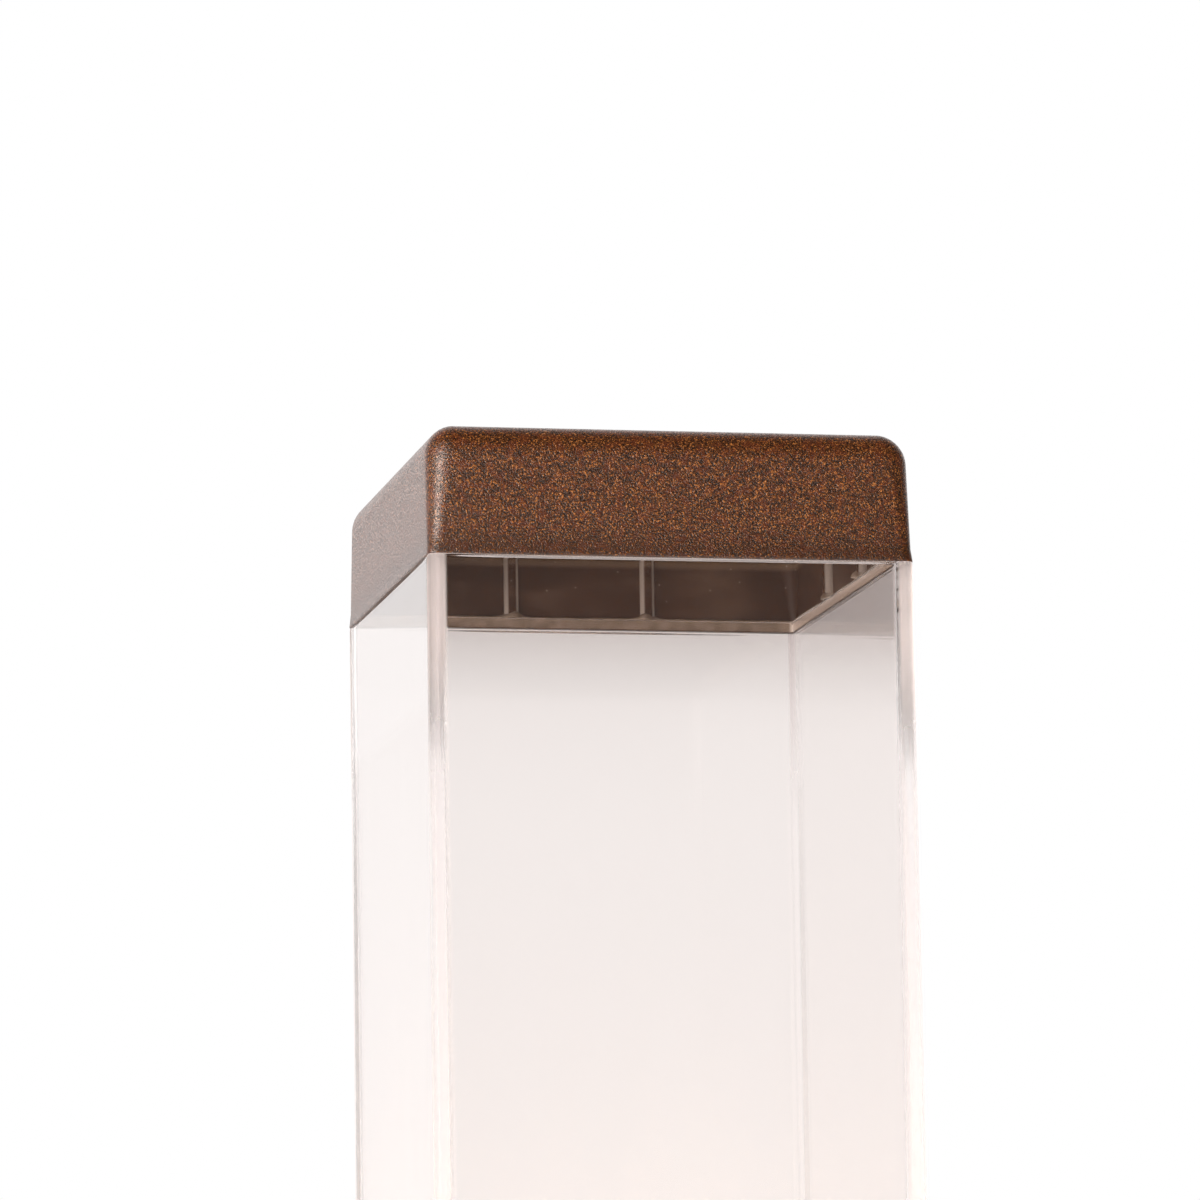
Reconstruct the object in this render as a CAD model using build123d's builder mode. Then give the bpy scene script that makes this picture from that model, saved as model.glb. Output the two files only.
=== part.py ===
from build123d import *
from math import pi, sqrt
import os

# Outdoor wall lamp. A square clear shade with a moulded cap lifts off a cast base, which stands
# off the wall on a canopy. The wall is the plane y = 0, the lamp stands in front of it, towards
# -Y, and the origin is the middle of the two wall screws. All sizes are in millimetres.

# Overall form
section = 100.0  # outer side of the square shade and of the base
base_height = 92.0
shade_height = 212.0  # clear wall between the base gasket and the cap
cap_height = 27.0
wall_gap = 36.0  # from the wall to the back of the base and shade

# Clear shade
shade_wall_top = 3.1
shade_wall_bottom = 4.2  # the bore narrows downwards, as the moulding core needs
shade_dish = 0.8  # how far each side bows inwards at its middle
shade_corner = 1.6
bore_corner = 1.0
shade_edge = 0.45  # polished break along the shade's top outer edge
cap_tongue_height = 2.2
cap_tongue_gap = 0.2
base_tongue_height = 9.0
base_tongue_gap = 0.4
base_tongue_corner = 1.4

# Moulded cap
cap_lip = 0.2  # the foot of the cap stands this far outside the shade
cap_foot_height = 2.8
cap_foot_flare = 0.5  # how far the foot flares out below the side walls
cap_draft = 0.25  # the sides lean in by this much up to the roof
cap_wall = 1.5
cap_roof = 1.9
cap_foot_corner = 2.4
cap_bore_corner = 1.2
cap_side_corner = 3.6
cap_crown_corner = 7.4
cap_crown_fillet = 6.8
rib_radius = 1.6
rib_spacing = 30.0
rib_reach = 1.9  # how far a rib stands in from the inner wall
bead_height = 2.4
bead_width = 1.7
bead_collar = 1.0  # the bead swells by this much round each rib

# Cast base
base_wall = 2.6
base_floor = 3.0
base_rim_corner = 3.0
base_bore_corner = 1.2
base_foot_corner = 7.4
base_foot_fillet = 6.8
base_draft = 0.4
gasket_thickness = 1.0
drain_diameter = 4.0
socket_spare = 1.5  # the socket for the shade's tongue is this much deeper than the tongue

# Neck between base and canopy
neck_width = 60.0
neck_spare = 0.75  # between the wire bush's lip and the neck's inside, below it
neck_length = 8.0
neck_corner = 5.0
neck_wall = 3.0
neck_gasket = 1.0
neck_boss_diameter = 10.0
neck_boss_spacing = 42.0
nut_flats = 8.0
nut_thickness = 4.0
nut_pad = 1.0  # height of the flat pad that each nut seats on, inside the base
wire_way_diameter = 10.0
wire_way_rise = 5.0  # above the middle of the space under the tray

# Tray and lampholder
tray_thickness = 1.5
tray_gap = 1.2
tray_corner = 6.0
tray_post_diameter = 8.0
tray_post_inset = 9.4  # from the base's inner wall to a post's middle
tray_post_web = 2.0
tray_slot_length = 22.0
tray_slot_width = 8.0
holder_recess = 12.0  # from the base's rim down to the lampholder's rim
holder_height = 46.0
holder_diameter = 39.0
holder_rim_diameter = 36.5
holder_shoulder = 24.0  # height of the wider lower part
holder_floor = 9.0
holder_bore_diameter = 30.6
holder_well_diameter = 24.0  # the narrower well under the shell
holder_shell_outside = 29.8
holder_shell_inside = 27.4
holder_shell_height = 25.0
holder_shell_recess = 2.0
holder_screw_spacing = 24.0
holder_wire_spacing = 12.0
holder_wire_hole = 3.0
holder_wire_depth = 5.0
holder_edge = 1.0
holder_spare = 0.8
contact_width = 6.0
contact_thickness = 0.6
contact_bend = 1.2
contact_reach = 9.0
contact_gap = 0.1  # between the spring and the bulb's contact

# Bulb with an E27 cap
bulb_length = 108.0
bulb_diameter = 60.0
bulb_cap_diameter = 26.2
bulb_cap_length = 22.0
bulb_neck_diameter = 29.0
bulb_dome_drop = 17.2  # from the dome's middle down to the skirt
bulb_insulator_height = 3.2
bulb_insulator_diameter = 18.0
bulb_contact_diameter = 9.0
bulb_contact_height = 1.6
bulb_wall = 1.4
bulb_board_inset = 3.6  # from the skirt's outer edge to the board
bulb_board_thickness = 1.6
bulb_board_gap = 0.3
bulb_depth = 24.0  # how much of the bulb sits inside the lampholder

# Wall side
canopy_width = 90.0
canopy_height = 120.0
canopy_wall = 2.4
canopy_corner = 8.0
canopy_fillet = 4.0
canopy_seal = 1.5
bracket_thickness = 1.5
bracket_ear_depth = 13.0
bracket_ear_height = 22.0
bracket_arm_height = 34.0
bracket_spine_width = 32.0
bracket_spine_length = 94.0
bracket_corner = 4.0
bracket_ear_corner = 3.0
bracket_gap = 0.5
wall_screw_spacing = 50.0
wall_slot_width = 5.2
wall_slot_length = 12.0
side_screw_depth = 8.0  # from the wall to the canopy's side screws
cable_diameter = 9.0
cable_hole_diameter = 15.0
bush_gap = 0.1
bush_lip = 2.0
bush_lip_thickness = 1.2
wire_bush_bore = 6.6

# Wiring
pole_pitch = 10.0
pole_count = 3
block_height = 20.0
block_depth = 15.0
block_level = 31.0
block_bore_diameter = 4.4
block_corner = 1.0
block_recess = 3.6  # depth of the recesses for the two fixing screws
pole_recess = 0.6  # how far under the block's front the pole screws sit
pole_screw_spacing = 12.0
block_screw_spacing = 10.0
wire_diameter = 2.4
wire_pair_spacing = 3.2  # between the middles of the two lamp wires in the bush
wire_entry = 6.0  # how far a wire reaches into the block
wire_pocket_gap = 0.5  # between a wire's end and the floor of its hole in the lampholder
wire_drop = 13.0  # how far a wire runs straight down from the block
wire_depth = 9.6  # from the wall to the wires behind the bush
wire_landing = 10.0  # how far the wires run straight on inside the base
wire_sag = 4.0  # how far the wires hang under the middle of the space below the tray
wire_turn = 13.0  # length of the nearly level run before the wires rise to the lampholder
wire_dip = 1.0  # how much that run still falls
lamp_wire_bends = (18.0, 10.0, 20.0, 12.0, 8.0)
earth_wire_bends = (20.0, 14.0)
earth_wire_drop = 12.0  # how far the earth wire runs straight down into its lug
earth_place_x = 27.0
earth_place_z = -38.0
earth_post_diameter = 9.0
earth_lug_diameter = 8.6
earth_lug_thickness = 0.8
earth_barrel_diameter = 3.8
earth_barrel_length = 6.0
earth_lug_neck = 1.2  # between the ring and the barrel
earth_post_height = 6.5

# Socket screws: thread diameter, length under the head, head diameter, head height, socket across flats
screw_tip_gap = 0.3  # between the backed-off shade screws and the shade
shade_screw = (4.0, base_wall + base_tongue_gap + shade_dish - screw_tip_gap, 7.0, 2.2, 2.5)
side_screw = (4.0, 8.0, 7.6, 2.4, 2.5)
block_screw = (3.0, 12.0, 5.2, 1.9, 2.0)
head_break = 0.3  # the chamfer round a head, as a share of its height
socket_share = 0.6  # a socket's depth, as a share of its head's height

# Hexagon screws: thread diameter, length under the head, head across flats, head height
tray_screw = (4.0, 10.0, 7.0, 2.8)
holder_screw = (3.5, 8.0, 6.0, 2.4)
neck_bolt = (5.0, 22.0, 8.0, 3.5)
earth_screw = (4.0, 6.0, 7.0, 2.8)

# The block's headless screws: thread diameter, length, socket across flats
pole_screw = (3.4, 5.4, 1.5)
hole_clearance = 0.1  # all round a screw's shank, in the hole that it passes or bites
hole_spare = 0.8  # a blind hole is this much deeper than its screw

# Levels and places worked out from the sizes above
lamp_y = -(wall_gap + section / 2)
base_bottom = -base_height / 2
base_top = base_height / 2
floor_top = base_bottom + base_floor
shade_bottom = base_top + gasket_thickness
shade_top = shade_bottom + shade_height
cap_bottom = shade_top
cap_top = cap_bottom + cap_height
tongue_top = shade_top + cap_tongue_height
base_tongue_bottom = shade_bottom - base_tongue_height
screw_level = base_top - base_tongue_height / 2
holder_top = base_top - holder_recess
holder_bottom = holder_top - holder_height
tray_bottom = holder_bottom - tray_thickness
wire_way_level = (floor_top + tray_bottom) / 2 + wire_way_rise
neck_height = 2 * (neck_wall + neck_spare + bush_lip + wire_way_diameter / 2 - wire_way_level)
shell_top = holder_top - holder_shell_recess
shell_bottom = shell_top - holder_shell_height
well_bottom = holder_bottom + holder_floor
bulb_tip = holder_top - bulb_depth
neck_back = wall_gap - neck_gasket
neck_end = neck_back - neck_length
canopy_front = neck_end - neck_gasket
canopy_inner_face = canopy_front - canopy_wall
nut_seat = wall_gap + base_wall + nut_pad
base_inside = section - 2 * base_wall
base_foot_inside = base_inside - 2 * base_draft
neck_bore_width = neck_width - 2 * neck_wall
neck_bore_height = neck_height - 2 * neck_wall
neck_boss_reach = (neck_width - neck_boss_spacing - neck_wall) / 2
base_tongue_outside = base_inside - 2 * base_tongue_gap
tray_post_spacing = base_inside - 2 * tray_post_inset
cap_foot_outside = section + 2 * cap_lip
cap_side_outside = cap_foot_outside - 2 * cap_foot_flare
cap_crown_outside = cap_side_outside - 2 * cap_draft
cap_inside = cap_side_outside - 2 * cap_wall
cap_crown_inside = cap_crown_outside - 2 * cap_wall
cap_tongue_outside = cap_inside - 2 * cap_tongue_gap
ear_face = canopy_width / 2 - canopy_wall - bracket_gap
earth_post_end = canopy_inner_face - earth_post_height
earth_wire_depth = earth_post_end - earth_lug_thickness - wire_diameter / 2 - hole_clearance
earth_barrel_foot = earth_place_z + earth_lug_diameter / 2 + earth_lug_neck
block_front = bracket_thickness + block_depth
block_middle = bracket_thickness + block_depth / 2
block_bottom = block_level - block_height / 2


def level(z):
    """The horizontal plane at height z, centred on the lamp's own axis."""
    return Plane(origin=(0, lamp_y, z))


def facing_wall(depth):
    """The upright plane that far in front of the wall, seen from the room."""
    return Plane.XZ.offset(depth)


def facing_room(depth):
    """The same plane seen from the wall. Its own y points down."""
    return Plane(origin=(0, -depth, 0), x_dir=(1, 0, 0), z_dir=(0, 1, 0))


def keep(built, name):
    """Names a finished piece and writes it."""
    built.part.label = name
    export_step(built.part, f"parts/{name}.step")


def hole_radius(screw):
    """The radius of the hole that a screw passes or bites."""
    return screw[0] / 2 + hole_clearance


def rib_circles(radius):
    """Circles on the eight ribs' middles, two along each inner side of the cap."""
    from_middle = cap_inside / 2 - rib_reach + rib_radius
    with BuildSketch() as circles:
        for place in ((rib_spacing / 2, from_middle), (from_middle, rib_spacing / 2)):
            with GridLocations(2 * place[0], 2 * place[1], 2, 2):
                Circle(radius)
    return circles.sketch


class DishedSquare(BaseSketchObject):
    """A square with round corners whose four sides bow inwards."""

    def __init__(self, side, dish, corner, rotation=0, align=None, mode=Mode.ADD):
        half = side / 2
        corners = [(-half, -half), (half, -half), (half, half), (-half, half)]
        with BuildSketch() as outline:
            with BuildLine():
                for start, end in zip(corners, corners[1:] + corners[:1]):
                    SagittaArc(start, end, dish)
            make_face()
            fillet(outline.vertices(), corner)
        super().__init__(obj=outline.sketch, rotation=rotation, align=align, mode=mode)


def socket_screw(thread, length, head, head_height, socket):
    """A round-headed screw with a hexagon socket. Its head stands on z = 0 and its shank points down."""
    with BuildPart() as screw:
        Cylinder(head / 2, head_height, align=(Align.CENTER, Align.CENTER, Align.MIN))
        chamfer(screw.edges().sort_by(Axis.Z)[-1], head_height * head_break)
        with BuildSketch(Plane.XY.offset(head_height)):
            RegularPolygon(socket / 2, 6, major_radius=False)
        extrude(amount=-head_height * socket_share, mode=Mode.SUBTRACT)
        Cylinder(thread / 2, length, align=(Align.CENTER, Align.CENTER, Align.MAX))
    return screw.part


def hexagon_screw(thread, length, flats, head_height):
    """A screw with a hexagon head. Its head stands on z = 0 and its shank points down."""
    with BuildPart() as screw:
        with BuildSketch():
            RegularPolygon(flats / 2, 6, major_radius=False)
        extrude(amount=head_height)
        Cylinder(thread / 2, length, align=(Align.CENTER, Align.CENTER, Align.MAX))
    return screw.part


def headless_screw(thread, length, socket):
    """A headless screw with a hexagon socket as deep as it is wide. It points down from z = 0."""
    with BuildPart() as screw:
        Cylinder(thread / 2, length, align=(Align.CENTER, Align.CENTER, Align.MAX))
        with BuildSketch():
            RegularPolygon(socket / 2, 6, major_radius=False)
        extrude(amount=-socket, mode=Mode.SUBTRACT)
    return screw.part


def make_wire(name, points, bends):
    """A round wire of straight runs and tangent arcs through the points, named and written."""
    with BuildPart() as wire:
        with BuildLine():
            route = FilletPolyline(*points, radius=bends)
        with BuildSketch(Plane(origin=route @ 0, z_dir=route % 0)):
            Circle(wire_diameter / 2)
        sweep()
    filled = wire.part.volume / (route.length * pi * wire_diameter**2 / 4)
    print(f"{name}: {route.length:.1f} mm long, bends {bends} mm")
    print(f"{name}: volume over section times length {filled:.4f}")
    keep(wire, name)


os.makedirs("parts", exist_ok=True)

# Clear shade: a moulded square tube with a tongue at each end
with BuildPart() as clear_shade:
    with BuildSketch(level(shade_bottom)):
        DishedSquare(section, shade_dish, shade_corner)
    extrude(amount=shade_height)
    ledge = clear_shade.faces().sort_by(Axis.Z)[-1]
    chamfer(ledge.edges(), shade_edge)
    with BuildSketch(level(shade_top)):
        DishedSquare(cap_tongue_outside, shade_dish, bore_corner)
    extrude(amount=cap_tongue_height)
    with BuildSketch(level(shade_bottom)):
        DishedSquare(base_tongue_outside, shade_dish, base_tongue_corner)
    extrude(amount=-base_tongue_height)
    with BuildSketch(level(base_tongue_bottom)):
        DishedSquare(section - 2 * shade_wall_bottom, shade_dish, bore_corner)
    with BuildSketch(level(tongue_top)):
        DishedSquare(section - 2 * shade_wall_top, shade_dish, bore_corner)
    loft(mode=Mode.SUBTRACT)
keep(clear_shade, "clear_shade")

# Core of the cap: the space inside it, grooved where the eight ribs stand
with BuildPart() as cap_core:
    with BuildSketch(level(cap_bottom)):
        RectangleRounded(cap_inside, cap_inside, cap_bore_corner)
    with BuildSketch(level(cap_top - cap_roof)):
        RectangleRounded(cap_crown_inside, cap_crown_inside, cap_crown_corner - cap_wall)
    loft()
    roof = cap_core.faces().sort_by(Axis.Z)[-1]
    fillet(roof.edges(), cap_crown_fillet - cap_roof)
    with BuildSketch(level(tongue_top)):
        add(rib_circles(rib_radius))
    extrude(amount=cap_height, mode=Mode.SUBTRACT)

# Cap: a thin drafted shell with a flared foot
with BuildPart() as top_cap:
    with BuildSketch(level(cap_bottom)):
        RectangleRounded(cap_foot_outside, cap_foot_outside, cap_foot_corner)
    with BuildSketch(level(cap_bottom + cap_foot_height)):
        RectangleRounded(cap_side_outside, cap_side_outside, cap_side_corner)
    loft()
    with BuildSketch(level(cap_bottom + cap_foot_height)):
        RectangleRounded(cap_side_outside, cap_side_outside, cap_side_corner)
    with BuildSketch(level(cap_top)):
        RectangleRounded(cap_crown_outside, cap_crown_outside, cap_crown_corner)
    loft()
    crown = top_cap.faces().sort_by(Axis.Z)[-1]
    fillet(crown.edges(), cap_crown_fillet)
    add(cap_core.part, mode=Mode.SUBTRACT)
keep(top_cap, "top_cap")

# Sealing bead: clear sealant in the corner between the tongue's top and the cap's inner wall
with BuildPart() as sealing_bead:
    with BuildSketch(level(tongue_top)):
        Rectangle(section, section)
        Rectangle(cap_inside - 2 * bead_width, cap_inside - 2 * bead_width, mode=Mode.SUBTRACT)
        add(rib_circles(rib_radius + bead_collar))
    extrude(amount=bead_height)
    add(cap_core.part, mode=Mode.INTERSECT)
keep(sealing_bead, "sealing_bead")

# Shade gasket on the base's rim
with BuildPart() as shade_gasket:
    with BuildSketch(level(base_top)):
        RectangleRounded(section, section, base_rim_corner)
        RectangleRounded(base_inside, base_inside, base_bore_corner, mode=Mode.SUBTRACT)
    extrude(amount=gasket_thickness)
keep(shade_gasket, "shade_gasket")

# Cast base: a drafted box, open at the top, with a flat pad for the neck on its back
with BuildPart() as base_housing:
    with BuildSketch(level(base_bottom)):
        RectangleRounded(section - 2 * base_draft, section - 2 * base_draft, base_foot_corner)
    with BuildSketch(level(base_top)):
        RectangleRounded(section, section, base_rim_corner)
    loft()
    underside = base_housing.faces().sort_by(Axis.Z)[0]
    fillet(underside.edges(), base_foot_fillet)
    with BuildSketch(facing_wall(wall_gap)):
        RectangleRounded(neck_width, neck_height, neck_corner)
    extrude(amount=base_wall)
    with BuildSketch(level(floor_top)):
        RectangleRounded(base_foot_inside, base_foot_inside, base_foot_corner - base_wall)
    with BuildSketch(level(base_top)):
        RectangleRounded(base_inside, base_inside, base_rim_corner)
    loft(mode=Mode.SUBTRACT)
    with BuildSketch(level(base_top)):
        RectangleRounded(base_inside, base_inside, base_bore_corner)
    extrude(amount=-base_tongue_height - socket_spare, mode=Mode.SUBTRACT)
    with BuildSketch(level(floor_top)):
        with GridLocations(tray_post_spacing, tray_post_spacing, 2, 2):
            Circle(tray_post_diameter / 2)
        with PolarLocations(base_inside / sqrt(2) - base_foot_corner, 4, start_angle=45):
            Rectangle(2 * base_foot_corner, tray_post_web)
    extrude(amount=tray_bottom - floor_top)
    with BuildSketch(level(tray_bottom)):
        with GridLocations(tray_post_spacing, tray_post_spacing, 2, 2):
            Circle(hole_radius(tray_screw))
    extrude(amount=tray_thickness - tray_screw[1] - hole_spare, mode=Mode.SUBTRACT)
    with BuildSketch(facing_wall(wall_gap + base_wall)):
        with GridLocations(neck_boss_spacing, 0, 2, 1):
            Circle(neck_boss_diameter / 2)
    extrude(amount=nut_pad)
    with BuildSketch(facing_wall(wall_gap)):
        with GridLocations(neck_boss_spacing, 0, 2, 1):
            Circle(hole_radius(neck_bolt))
        with Locations((0, wire_way_level)):
            Circle(wire_way_diameter / 2)
    extrude(amount=nut_seat - wall_gap, mode=Mode.SUBTRACT)
    with BuildSketch(level(base_bottom)):
        Circle(drain_diameter / 2)
    extrude(amount=base_floor, mode=Mode.SUBTRACT)
    with BuildSketch(Plane.YZ.offset(-section / 2)):
        with Locations((lamp_y, screw_level)):
            Circle(hole_radius(shade_screw))
    extrude(amount=section, mode=Mode.SUBTRACT)
keep(base_housing, "base_housing")

# Two screws in the base's sides hold the shade's tongue. They are drawn backed off.
with BuildPart() as shade_screws:
    for side in (-1, 1):
        with Locations(Plane(origin=(side * section / 2, lamp_y, screw_level), z_dir=(side, 0, 0))):
            add(socket_screw(*shade_screw))
keep(shade_screws, "shade_screws")

# Tray: a sheet-metal plate on the base's four posts, with a slot for the wires
with BuildPart() as holder_tray:
    with BuildSketch(level(tray_bottom)):
        RectangleRounded(base_inside - 2 * tray_gap, base_inside - 2 * tray_gap, tray_corner)
        SlotOverall(tray_slot_length, tray_slot_width, mode=Mode.SUBTRACT)
        with GridLocations(tray_post_spacing, tray_post_spacing, 2, 2):
            Circle(hole_radius(tray_screw), mode=Mode.SUBTRACT)
        with GridLocations(0, holder_screw_spacing, 1, 2):
            Circle(hole_radius(holder_screw), mode=Mode.SUBTRACT)
    extrude(amount=tray_thickness)
keep(holder_tray, "holder_tray")

with BuildPart() as tray_screws:
    with Locations(level(holder_bottom)):
        with GridLocations(tray_post_spacing, tray_post_spacing, 2, 2):
            add(hexagon_screw(*tray_screw))
keep(tray_screws, "tray_screws")

# Lampholder: a stepped ceramic body, a metal shell and a contact spring
with BuildPart() as lampholder_body:
    with BuildSketch(level(holder_bottom)):
        Circle(holder_diameter / 2)
    extrude(amount=holder_shoulder)
    with BuildSketch(level(holder_bottom)):
        Circle(holder_rim_diameter / 2)
    extrude(amount=holder_height)
    outer_rims = lampholder_body.edges().filter_by(GeomType.CIRCLE).sort_by(SortBy.RADIUS)
    chamfer(outer_rims.sort_by(Axis.Z)[-1], holder_edge)
    chamfer(outer_rims.group_by(Axis.Z)[-2].sort_by(SortBy.RADIUS)[-1], holder_edge)
    with BuildSketch(level(shell_bottom)):
        Circle(holder_bore_diameter / 2)
    extrude(amount=holder_top - shell_bottom, mode=Mode.SUBTRACT)
    with BuildSketch(level(well_bottom)):
        Circle(holder_well_diameter / 2)
    extrude(amount=shell_bottom - well_bottom, mode=Mode.SUBTRACT)
    with BuildSketch(level(holder_bottom)):
        with GridLocations(0, holder_screw_spacing, 1, 2):
            Circle(hole_radius(holder_screw))
    extrude(amount=holder_screw[1] - tray_thickness + holder_spare, mode=Mode.SUBTRACT)
    with BuildSketch(level(holder_bottom)):
        with GridLocations(holder_wire_spacing, 0, 2, 1):
            Circle(holder_wire_hole / 2)
    extrude(amount=holder_wire_depth, mode=Mode.SUBTRACT)
keep(lampholder_body, "lampholder_body")

with BuildPart() as lampholder_shell:
    with BuildSketch(level(shell_bottom)):
        Circle(holder_shell_outside / 2)
        Circle(holder_shell_inside / 2, mode=Mode.SUBTRACT)
    extrude(amount=holder_shell_height)
keep(lampholder_shell, "lampholder_shell")

# Contact spring: a bent strip that rises from the well's floor to the bulb's contact
with BuildPart() as contact_spring:
    with BuildSketch(facing_wall(-lamp_y - contact_width / 2)):
        with BuildLine():
            FilletPolyline(
                (-contact_reach, well_bottom + contact_thickness / 2),
                (-contact_width / 2, well_bottom + contact_thickness / 2),
                (-contact_reach, (well_bottom + bulb_tip) / 2),
                (-contact_width / 2, bulb_tip - contact_gap - contact_thickness / 2),
                (contact_width / 2, bulb_tip - contact_gap - contact_thickness / 2),
                radius=contact_bend,
            )
            offset(amount=contact_thickness / 2)
        make_face()
    extrude(amount=contact_width)
keep(contact_spring, "contact_spring")

with BuildPart() as holder_screws:
    with Locations(Plane(origin=(0, lamp_y, tray_bottom), z_dir=(0, 0, -1))):
        with GridLocations(0, holder_screw_spacing, 1, 2):
            add(hexagon_screw(*holder_screw))
keep(holder_screws, "holder_screws")

# Bulb: an opal dome on a tapered skirt, with a screw cap, an insulator and a contact below
cap_foot = bulb_tip + bulb_contact_height + bulb_insulator_height
bulb_cap_top = cap_foot + bulb_cap_length
dome_middle = bulb_tip + bulb_length - bulb_diameter / 2
skirt_top = dome_middle - bulb_dome_drop
skirt_radius = sqrt((bulb_diameter / 2) ** 2 - bulb_dome_drop**2)
board_radius = skirt_radius - bulb_board_inset
inner_radius = bulb_diameter / 2 - bulb_wall
lamp_profile = Plane(origin=(0, lamp_y, 0), x_dir=(1, 0, 0), z_dir=(0, -1, 0))
lamp_axis = Axis((0, lamp_y, 0), (0, 0, 1))

with BuildPart() as bulb_dome:
    with BuildSketch(lamp_profile):
        with BuildLine():
            ThreePointArc(
                (skirt_radius, skirt_top),
                (bulb_diameter / 2, dome_middle),
                (0, dome_middle + bulb_diameter / 2),
            )
            Line((0, dome_middle + bulb_diameter / 2), (0, dome_middle + inner_radius))
            ThreePointArc(
                (0, dome_middle + inner_radius),
                (inner_radius, dome_middle),
                (sqrt(inner_radius**2 - bulb_dome_drop**2), skirt_top),
            )
            Line((sqrt(inner_radius**2 - bulb_dome_drop**2), skirt_top), (skirt_radius, skirt_top))
        make_face()
    revolve(axis=lamp_axis)
keep(bulb_dome, "bulb_dome")

with BuildPart() as bulb_skirt:
    with BuildSketch(lamp_profile):
        with BuildLine():
            Spline(
                (bulb_neck_diameter / 2, bulb_cap_top),
                (skirt_radius, skirt_top),
                tangents=((0, 1), (bulb_dome_drop, skirt_radius)),
            )
            Polyline(
                (skirt_radius, skirt_top),
                (board_radius + bulb_board_gap, skirt_top),
                (board_radius + bulb_board_gap, skirt_top - bulb_board_thickness),
                (0, skirt_top - bulb_board_thickness),
                (0, bulb_cap_top),
                (bulb_neck_diameter / 2, bulb_cap_top),
            )
        make_face()
    revolve(axis=lamp_axis)
keep(bulb_skirt, "bulb_skirt")

with BuildPart() as bulb_board:
    with BuildSketch(level(skirt_top - bulb_board_thickness)):
        Circle(board_radius)
    extrude(amount=bulb_board_thickness)
keep(bulb_board, "bulb_board")

with BuildPart() as bulb_cap:
    with BuildSketch(level(cap_foot)):
        Circle(bulb_cap_diameter / 2)
    extrude(amount=bulb_cap_length)
    foot_edge = bulb_cap.edges().sort_by(Axis.Z)[0]
    chamfer(foot_edge, (bulb_cap_diameter - bulb_insulator_diameter) / 2)
keep(bulb_cap, "bulb_cap")

with BuildPart() as bulb_insulator:
    with BuildSketch(level(cap_foot)):
        Circle(bulb_insulator_diameter / 2)
    with BuildSketch(level(cap_foot - bulb_insulator_height)):
        Circle(bulb_contact_diameter / 2)
    loft()
keep(bulb_insulator, "bulb_insulator")

with BuildPart() as bulb_contact:
    with BuildSketch(level(bulb_tip)):
        Circle(bulb_contact_diameter / 2)
    extrude(amount=bulb_contact_height)
    chamfer(bulb_contact.edges().sort_by(Axis.Z)[0], bulb_contact_height / 2)
keep(bulb_contact, "bulb_contact")

# Neck: a hollow frame with a boss for each bolt, and the same outline in rubber at each end
with BuildSketch() as neck_outline:
    RectangleRounded(neck_width, neck_height, neck_corner)
    RectangleRounded(neck_bore_width, neck_bore_height, neck_corner - neck_wall, mode=Mode.SUBTRACT)
    with GridLocations(neck_boss_spacing, 0, 2, 1):
        Circle(neck_boss_diameter / 2)
    with GridLocations(neck_boss_spacing + neck_boss_reach, 0, 2, 1):
        Rectangle(neck_boss_reach, neck_boss_diameter)
    with GridLocations(neck_boss_spacing, 0, 2, 1):
        Circle(hole_radius(neck_bolt), mode=Mode.SUBTRACT)

with BuildPart() as wall_neck:
    with BuildSketch(facing_wall(neck_end)):
        add(neck_outline.sketch)
    extrude(amount=neck_length)
keep(wall_neck, "wall_neck")

with BuildPart() as neck_seals:
    for depth in (canopy_front, neck_back):
        with BuildSketch(facing_wall(depth)):
            add(neck_outline.sketch)
        extrude(amount=neck_gasket)
keep(neck_seals, "neck_seals")

with BuildPart() as neck_nuts:
    with BuildSketch(facing_wall(nut_seat)):
        with GridLocations(neck_boss_spacing, 0, 2, 1):
            RegularPolygon(nut_flats / 2, 6, major_radius=False)
            Circle(hole_radius(neck_bolt), mode=Mode.SUBTRACT)
    extrude(amount=nut_thickness)
keep(neck_nuts, "neck_nuts")

# Wall canopy: a cast pan, open towards the wall, with a post for the earth screw
with BuildPart() as wall_canopy:
    with BuildSketch(facing_wall(canopy_seal)):
        RectangleRounded(canopy_width, canopy_height, canopy_corner)
    extrude(amount=canopy_front - canopy_seal)
    front = wall_canopy.faces().sort_by(Axis.Y)[0]
    fillet(front.edges(), canopy_fillet)
    with BuildSketch(facing_wall(canopy_seal)):
        RectangleRounded(
            canopy_width - 2 * canopy_wall, canopy_height - 2 * canopy_wall, canopy_corner - canopy_wall
        )
        with Locations((earth_place_x, earth_place_z)):
            Circle(earth_post_diameter / 2, mode=Mode.SUBTRACT)
    extrude(amount=canopy_inner_face - canopy_seal, mode=Mode.SUBTRACT)
    with BuildSketch(facing_wall(canopy_seal)):
        with Locations((earth_place_x, earth_place_z)):
            Circle(earth_post_diameter / 2)
    extrude(amount=earth_post_end - canopy_seal, mode=Mode.SUBTRACT)
    with BuildSketch(facing_wall(earth_post_end)):
        with Locations((earth_place_x, earth_place_z)):
            Circle(hole_radius(earth_screw))
    extrude(amount=earth_screw[1] - earth_lug_thickness + hole_spare, mode=Mode.SUBTRACT)
    with BuildSketch(facing_wall(canopy_inner_face)):
        with GridLocations(neck_boss_spacing, 0, 2, 1):
            Circle(hole_radius(neck_bolt))
        with Locations((0, wire_way_level)):
            Circle(wire_way_diameter / 2)
    extrude(amount=canopy_wall, mode=Mode.SUBTRACT)
    with BuildSketch(Plane.YZ.offset(-canopy_width / 2)):
        with Locations((-side_screw_depth, 0)):
            Circle(hole_radius(side_screw))
    extrude(amount=canopy_width, mode=Mode.SUBTRACT)
keep(wall_canopy, "wall_canopy")

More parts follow.
